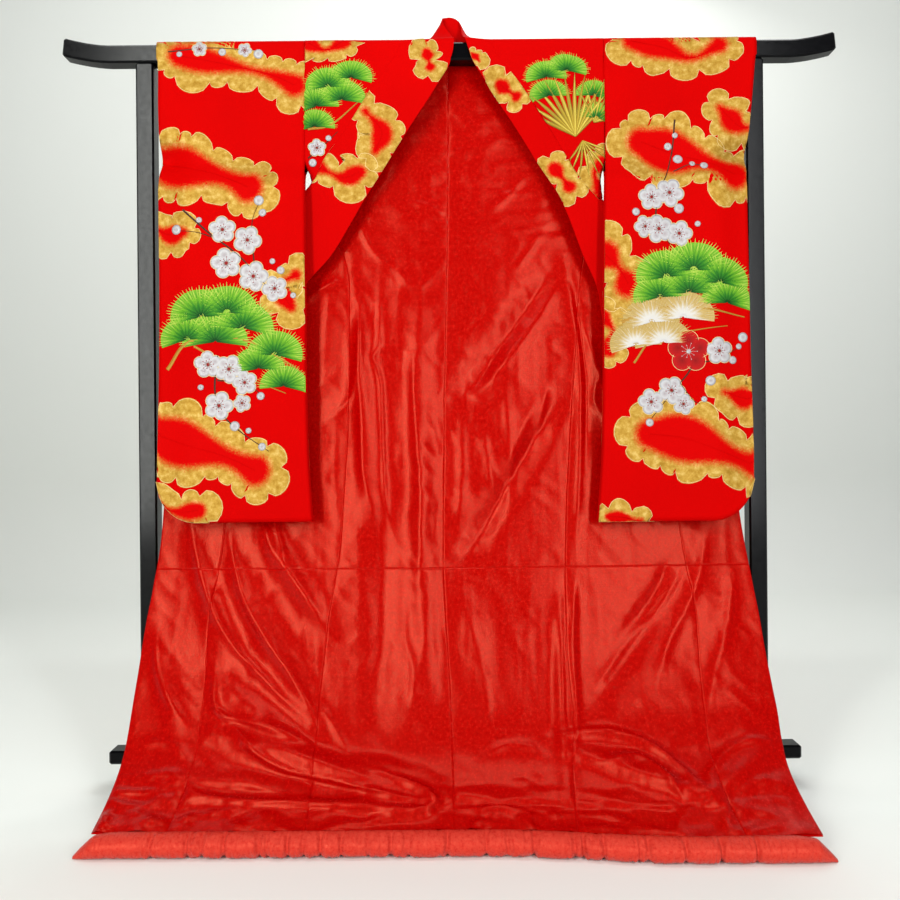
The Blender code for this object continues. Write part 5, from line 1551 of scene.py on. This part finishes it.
def gather(name, at, draw, looks):
    """Draws one surface's motifs and lays them on it."""
    batches = {look: Batch() for look in looks}
    draw(batches)
    made = []
    for look, batch in batches.items():
        if not batch.count:
            continue
        parts = (batch.points, batch.quads, batch.tones, batch.places)
        local, quads, tones, places = map(np.concatenate, parts)
        points = at(local[:, 0], local[:, 1], local[:, 2])
        # What was drawn past the panel's edge folds to nothing there and is dropped
        wide = diagonals(points[quads])
        meant = diagonals(local[quads])[0]
        keep = (np.minimum(*wide) > 0.25 * meant) & (np.maximum(*wide) < 3 * meant + 0.002)
        piece = decal_mesh(f"{look}_{name}", points, quads[keep], tones, places, looks[look])
        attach(piece, "root")
        made.append(piece)
    return made


def decal_mesh(name, points, quads, tones, places, look):
    """One mesh of motifs, with its shade along each needle or cloud kept as a colour."""
    used, index = np.unique(quads, return_inverse=True)
    made = build_mesh(name, points[used], index.reshape(-1, 4), places[used], look)
    shade = made.data.color_attributes.new("shade", "FLOAT_COLOR", "POINT")
    tone = tones[used]
    colors = np.stack([tone, tone, tone, np.ones(len(tone))], -1)
    shade.data.foreach_set("color", colors.astype(np.float32).ravel())
    return made


def shade_of(tree):
    """The tone kept on a motif's points."""
    made = tree.nodes.new("ShaderNodeAttribute")
    made.attribute_name = "shade"
    return made.outputs["Fac"]


def shaded(name, roughness, metallic, threads, depth, stops):
    """Embroidery whose colour runs along a shade, with fine threads."""
    sockets = {"Metallic": metallic, "Specular_IOR_Level": 0.15}
    made, tree, shader = node_material(name, stops[-1][1], roughness, **sockets)
    tree.links.new(ramp_node(tree, shade_of(tree), stops), shader.inputs["Base Color"])
    grain = noise_node(tree, stretched(tree, (threads, threads * 0.2, 1)), 1.0, 2.0)
    add_bump(tree, shader, grain, 0.5, depth)
    return made


def gold_leaf(red):
    """Mottled gold leaf that thins out to the red cloth."""
    made, tree, shader = node_material("gold_leaf", LEAF_GOLD, 0.6, Specular_IOR_Level=0.02)
    specks = noise_node(tree, stretched(tree, (260, 260, 1)), 1.0, 5.0, 0.7)
    mottle = noise_node(tree, stretched(tree, (70, 70, 1)), 1.0, 4.0, 0.65)
    color = tree.nodes.new("ShaderNodeMix")
    color.data_type = "RGBA"
    color.inputs["A"].default_value = (*red, 1)
    cover = multiply_add(tree, specks, 0.55, shade_of(tree))
    fade = map_range(tree, cover, color.inputs["Factor"], From_Min=0.46, From_Max=0.88)
    fade.interpolation_type = "SMOOTHSTEP"
    tree.links.new(ramp_node(tree, mottle, GOLD_STOPS), color.inputs["B"])
    tree.links.new(color.outputs["Result"], shader.inputs["Base Color"])
    map_range(tree, fade.outputs["Result"], shader.inputs["Metallic"], To_Max=0.45)
    add_bump(tree, shader, mottle, 0.25, 0.0008)
    return made


def embroidery(red):
    """Every thread and leaf used by the motifs."""
    looks = {"gold_leaf": gold_leaf(red)}
    for thread in THREADS:
        looks[thread["name"]] = shaded(**thread)
    return looks


def decor(red):
    """Lays the motifs on the outer cloth, and returns them by the cut that they are sewn on."""
    looks = embroidery(red)
    sleeves = {-1: decor_left_sleeve, 1: decor_right_sleeve}
    shoulders = {-1: decor_left_shoulder, 1: decor_right_shoulder}
    collars = {-1: decor_left_collar, 1: decor_right_collar}
    motifs = {}
    for side, tag in SIDES:
        surfaces = [
            ("sleeve", "sleeve", on_sleeve(side, True), sleeves[side]),
            ("sleeve", "sleeve_back", on_sleeve(side, False), partial(decor_sleeve_back, side)),
            ("front", "shoulder", on_body(side, 1), shoulders[side]),
            ("front", "front", on_opened(side), partial(decor_opened, side)),
            ("collar", "collar", on_body(side, 3), collars[side]),
            ("back", "back", on_body(side, 0), partial(decor_back, side)),
        ]
        for cut, surface, at, draw in surfaces:
            sewn = motifs.setdefault(f"cloth_{cut}_{tag}", [])
            sewn.extend(gather(f"{tag}_{surface}", at, draw, looks))
    return motifs


def hem_roll(look):
    """The padded roll along the hem, drawn in at its stitches and pointed at its two ends."""
    part = np.linspace(0, 1, ROLL_STEPS + 1)
    first, last = HEM_ROLL[0]["x"], HEM_ROLL[-1]["x"]
    x = mix(first, last, part - ROLL_END_CLOSENESS * np.sin(2 * np.pi * part))
    half = read(HEM_ROLL, x, "half")
    depths = [TUFT_DEPTHS[k % len(TUFT_DEPTHS)] for k in range(len(TUFTS))]
    pinch = sum(depth * np.exp(-((x - tuft) / TUFT_HALF) ** 2) for tuft, depth in zip(TUFTS, depths))
    near = sum(np.exp(-((x - tuft) / PUCKER_HALF) ** 2) for tuft in TUFTS)[:, None]
    behind = math.sqrt(ROLL_HALF ** 2 - (SHEET_END - ROLL_FLATTENING * ROLL_HALF) ** 2)
    y = drape_y(x, SHEET_END) - behind * ROLL_WIDENING - ROLL_GAP - read(HEM_ROLL, x, "forward")
    turn = 2 * np.pi * np.arange(ROLL_SIDES) / ROLL_SIDES
    xx, turns = np.meshgrid(x, turn, indexing="ij")
    half = half[:, None]
    fold = np.abs(np.sin(turns * 1.5)) * 0.0006
    swollen = 0.0007 * noise(xx * 16, turns * 0, 23) - 0.0014 * near
    # The stitches pull in the front, and the cloth of the sheet runs unbroken into the back
    ahead = smooth(0.6 - np.cos(turns))
    radius = half - pinch[:, None] * ahead + fold + swollen * ahead + 0.0016 * (1 - ahead)
    gathers = creased(ROLL_GATHERS, xx, turns) * (0.4 + 0.9 * near) * np.minimum(half / 0.02, 1)
    radius = np.minimum(radius + gathers - 0.0012, half + 0.0010)
    floor = -half * ROLL_FLATTENING
    rise = np.maximum(radius * np.sin(turns), floor) - floor
    points = stack(xx, y[:, None] + radius * ROLL_WIDENING * np.cos(turns), rise)
    points = np.concatenate([points, points[:, :1]], axis=1)
    around = np.append(turn, 2 * np.pi) * ROLL_UV_RADIUS
    uv = np.stack(np.broadcast_arrays(x[:, None], around[None]), -1)
    piece = grid_mesh("padded_hem_roll", points, uv, look)
    declare(piece, "hem_roll")
    return piece


def stand(look):
    for name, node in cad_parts.items():
        if name.startswith("stand_"):
            node.data.materials.clear()
            node.data.materials.append(look)


def studio():
    """A pale floor that curves up into a pale wall."""
    look = node_material("pale_paper", PALE_PAPER, 0.9)[0]
    profile = [(SWEEP_NEAR, 0.0)]
    for turn in np.linspace(0, math.pi / 2, 13):
        forward = SWEEP_RADIUS * math.sin(turn)
        profile.append((SWEEP_START + forward, SWEEP_RADIUS - SWEEP_RADIUS * math.cos(turn)))
    profile.append((SWEEP_START + SWEEP_RADIUS, SWEEP_TOP))
    points = [(x, y, z - 0.0005) for y, z in profile for x in (-SWEEP_HALF, SWEEP_HALF)]
    strips = [(2 * i, 2 * i + 1, 2 * i + 3, 2 * i + 2) for i in range(len(profile) - 1)]
    mesh = bpy.data.meshes.new("paper_sweep")
    mesh.from_pydata(points, [], strips)
    mesh.shade_smooth()
    mesh.materials.append(look)
    sweep = bpy.data.objects.new("paper_sweep", mesh)
    bpy.context.collection.objects.link(sweep)


def area_light(name, place, target, size, power, color):
    data = bpy.data.lights.new(name, "AREA")
    data.shape = "RECTANGLE"
    data.size, data.size_y = size
    data.energy = power
    data.color = color
    made = bpy.data.objects.new(name, data)
    made.location = place
    made.rotation_euler = (Vector(target) - Vector(place)).to_track_quat("-Z", "Y").to_euler()
    bpy.context.collection.objects.link(made)


def lights():
    for row in LIGHTS:
        area_light(**row)
    world = bpy.data.worlds.new("soft_room")
    world.use_nodes = True
    world.node_tree.nodes["Background"].inputs["Color"].default_value = ROOM_LIGHT
    world.node_tree.nodes["Background"].inputs["Strength"].default_value = 0.20
    bpy.context.scene.world = world


def camera():
    data = bpy.data.cameras.new("photo_camera")
    data.lens = CAMERA_LENS
    data.sensor_width = 36.0
    made = bpy.data.objects.new("photo_camera", data)
    x, y, z = CAMERA_PLACE
    made.location = (x, y + SHIFT_Y, z)
    made.rotation_euler = (math.pi / 2, CAMERA_ROLL, 0)
    bpy.context.collection.objects.link(made)
    bpy.context.scene.camera = made


def main():
    bpy.context.scene.view_settings.view_transform = "Standard"
    red_satin = satin("lining_satin", LINING_PAINTED_TROUGH_SHADE, LINING_PAINTED_CREST_LIGHT, 0.19)
    # The hem roll's satin is a lighter, salmon-tinted copy of the lining's: painted sheen
    roll_painted_sheen_satin = satin("hem_roll_satin", ROLL_PAINTED_SHEEN_TROUGH_SHADE, ROLL_PAINTED_SHEEN_CREST_LIGHT, 0.28)
    red_crepe = crepe("outer_crepe", RED_CREPE)
    stand(lacquer("black_lacquer"))
    lining(red_satin)
    outer_body(red_crepe)
    nape(red_crepe)
    for side, tag in SIDES:
        sleeve(side, tag, red_crepe)
    decor(RED_CREPE)
    hem_roll(roll_painted_sheen_satin)
    studio()
    lights()
    camera()


main()
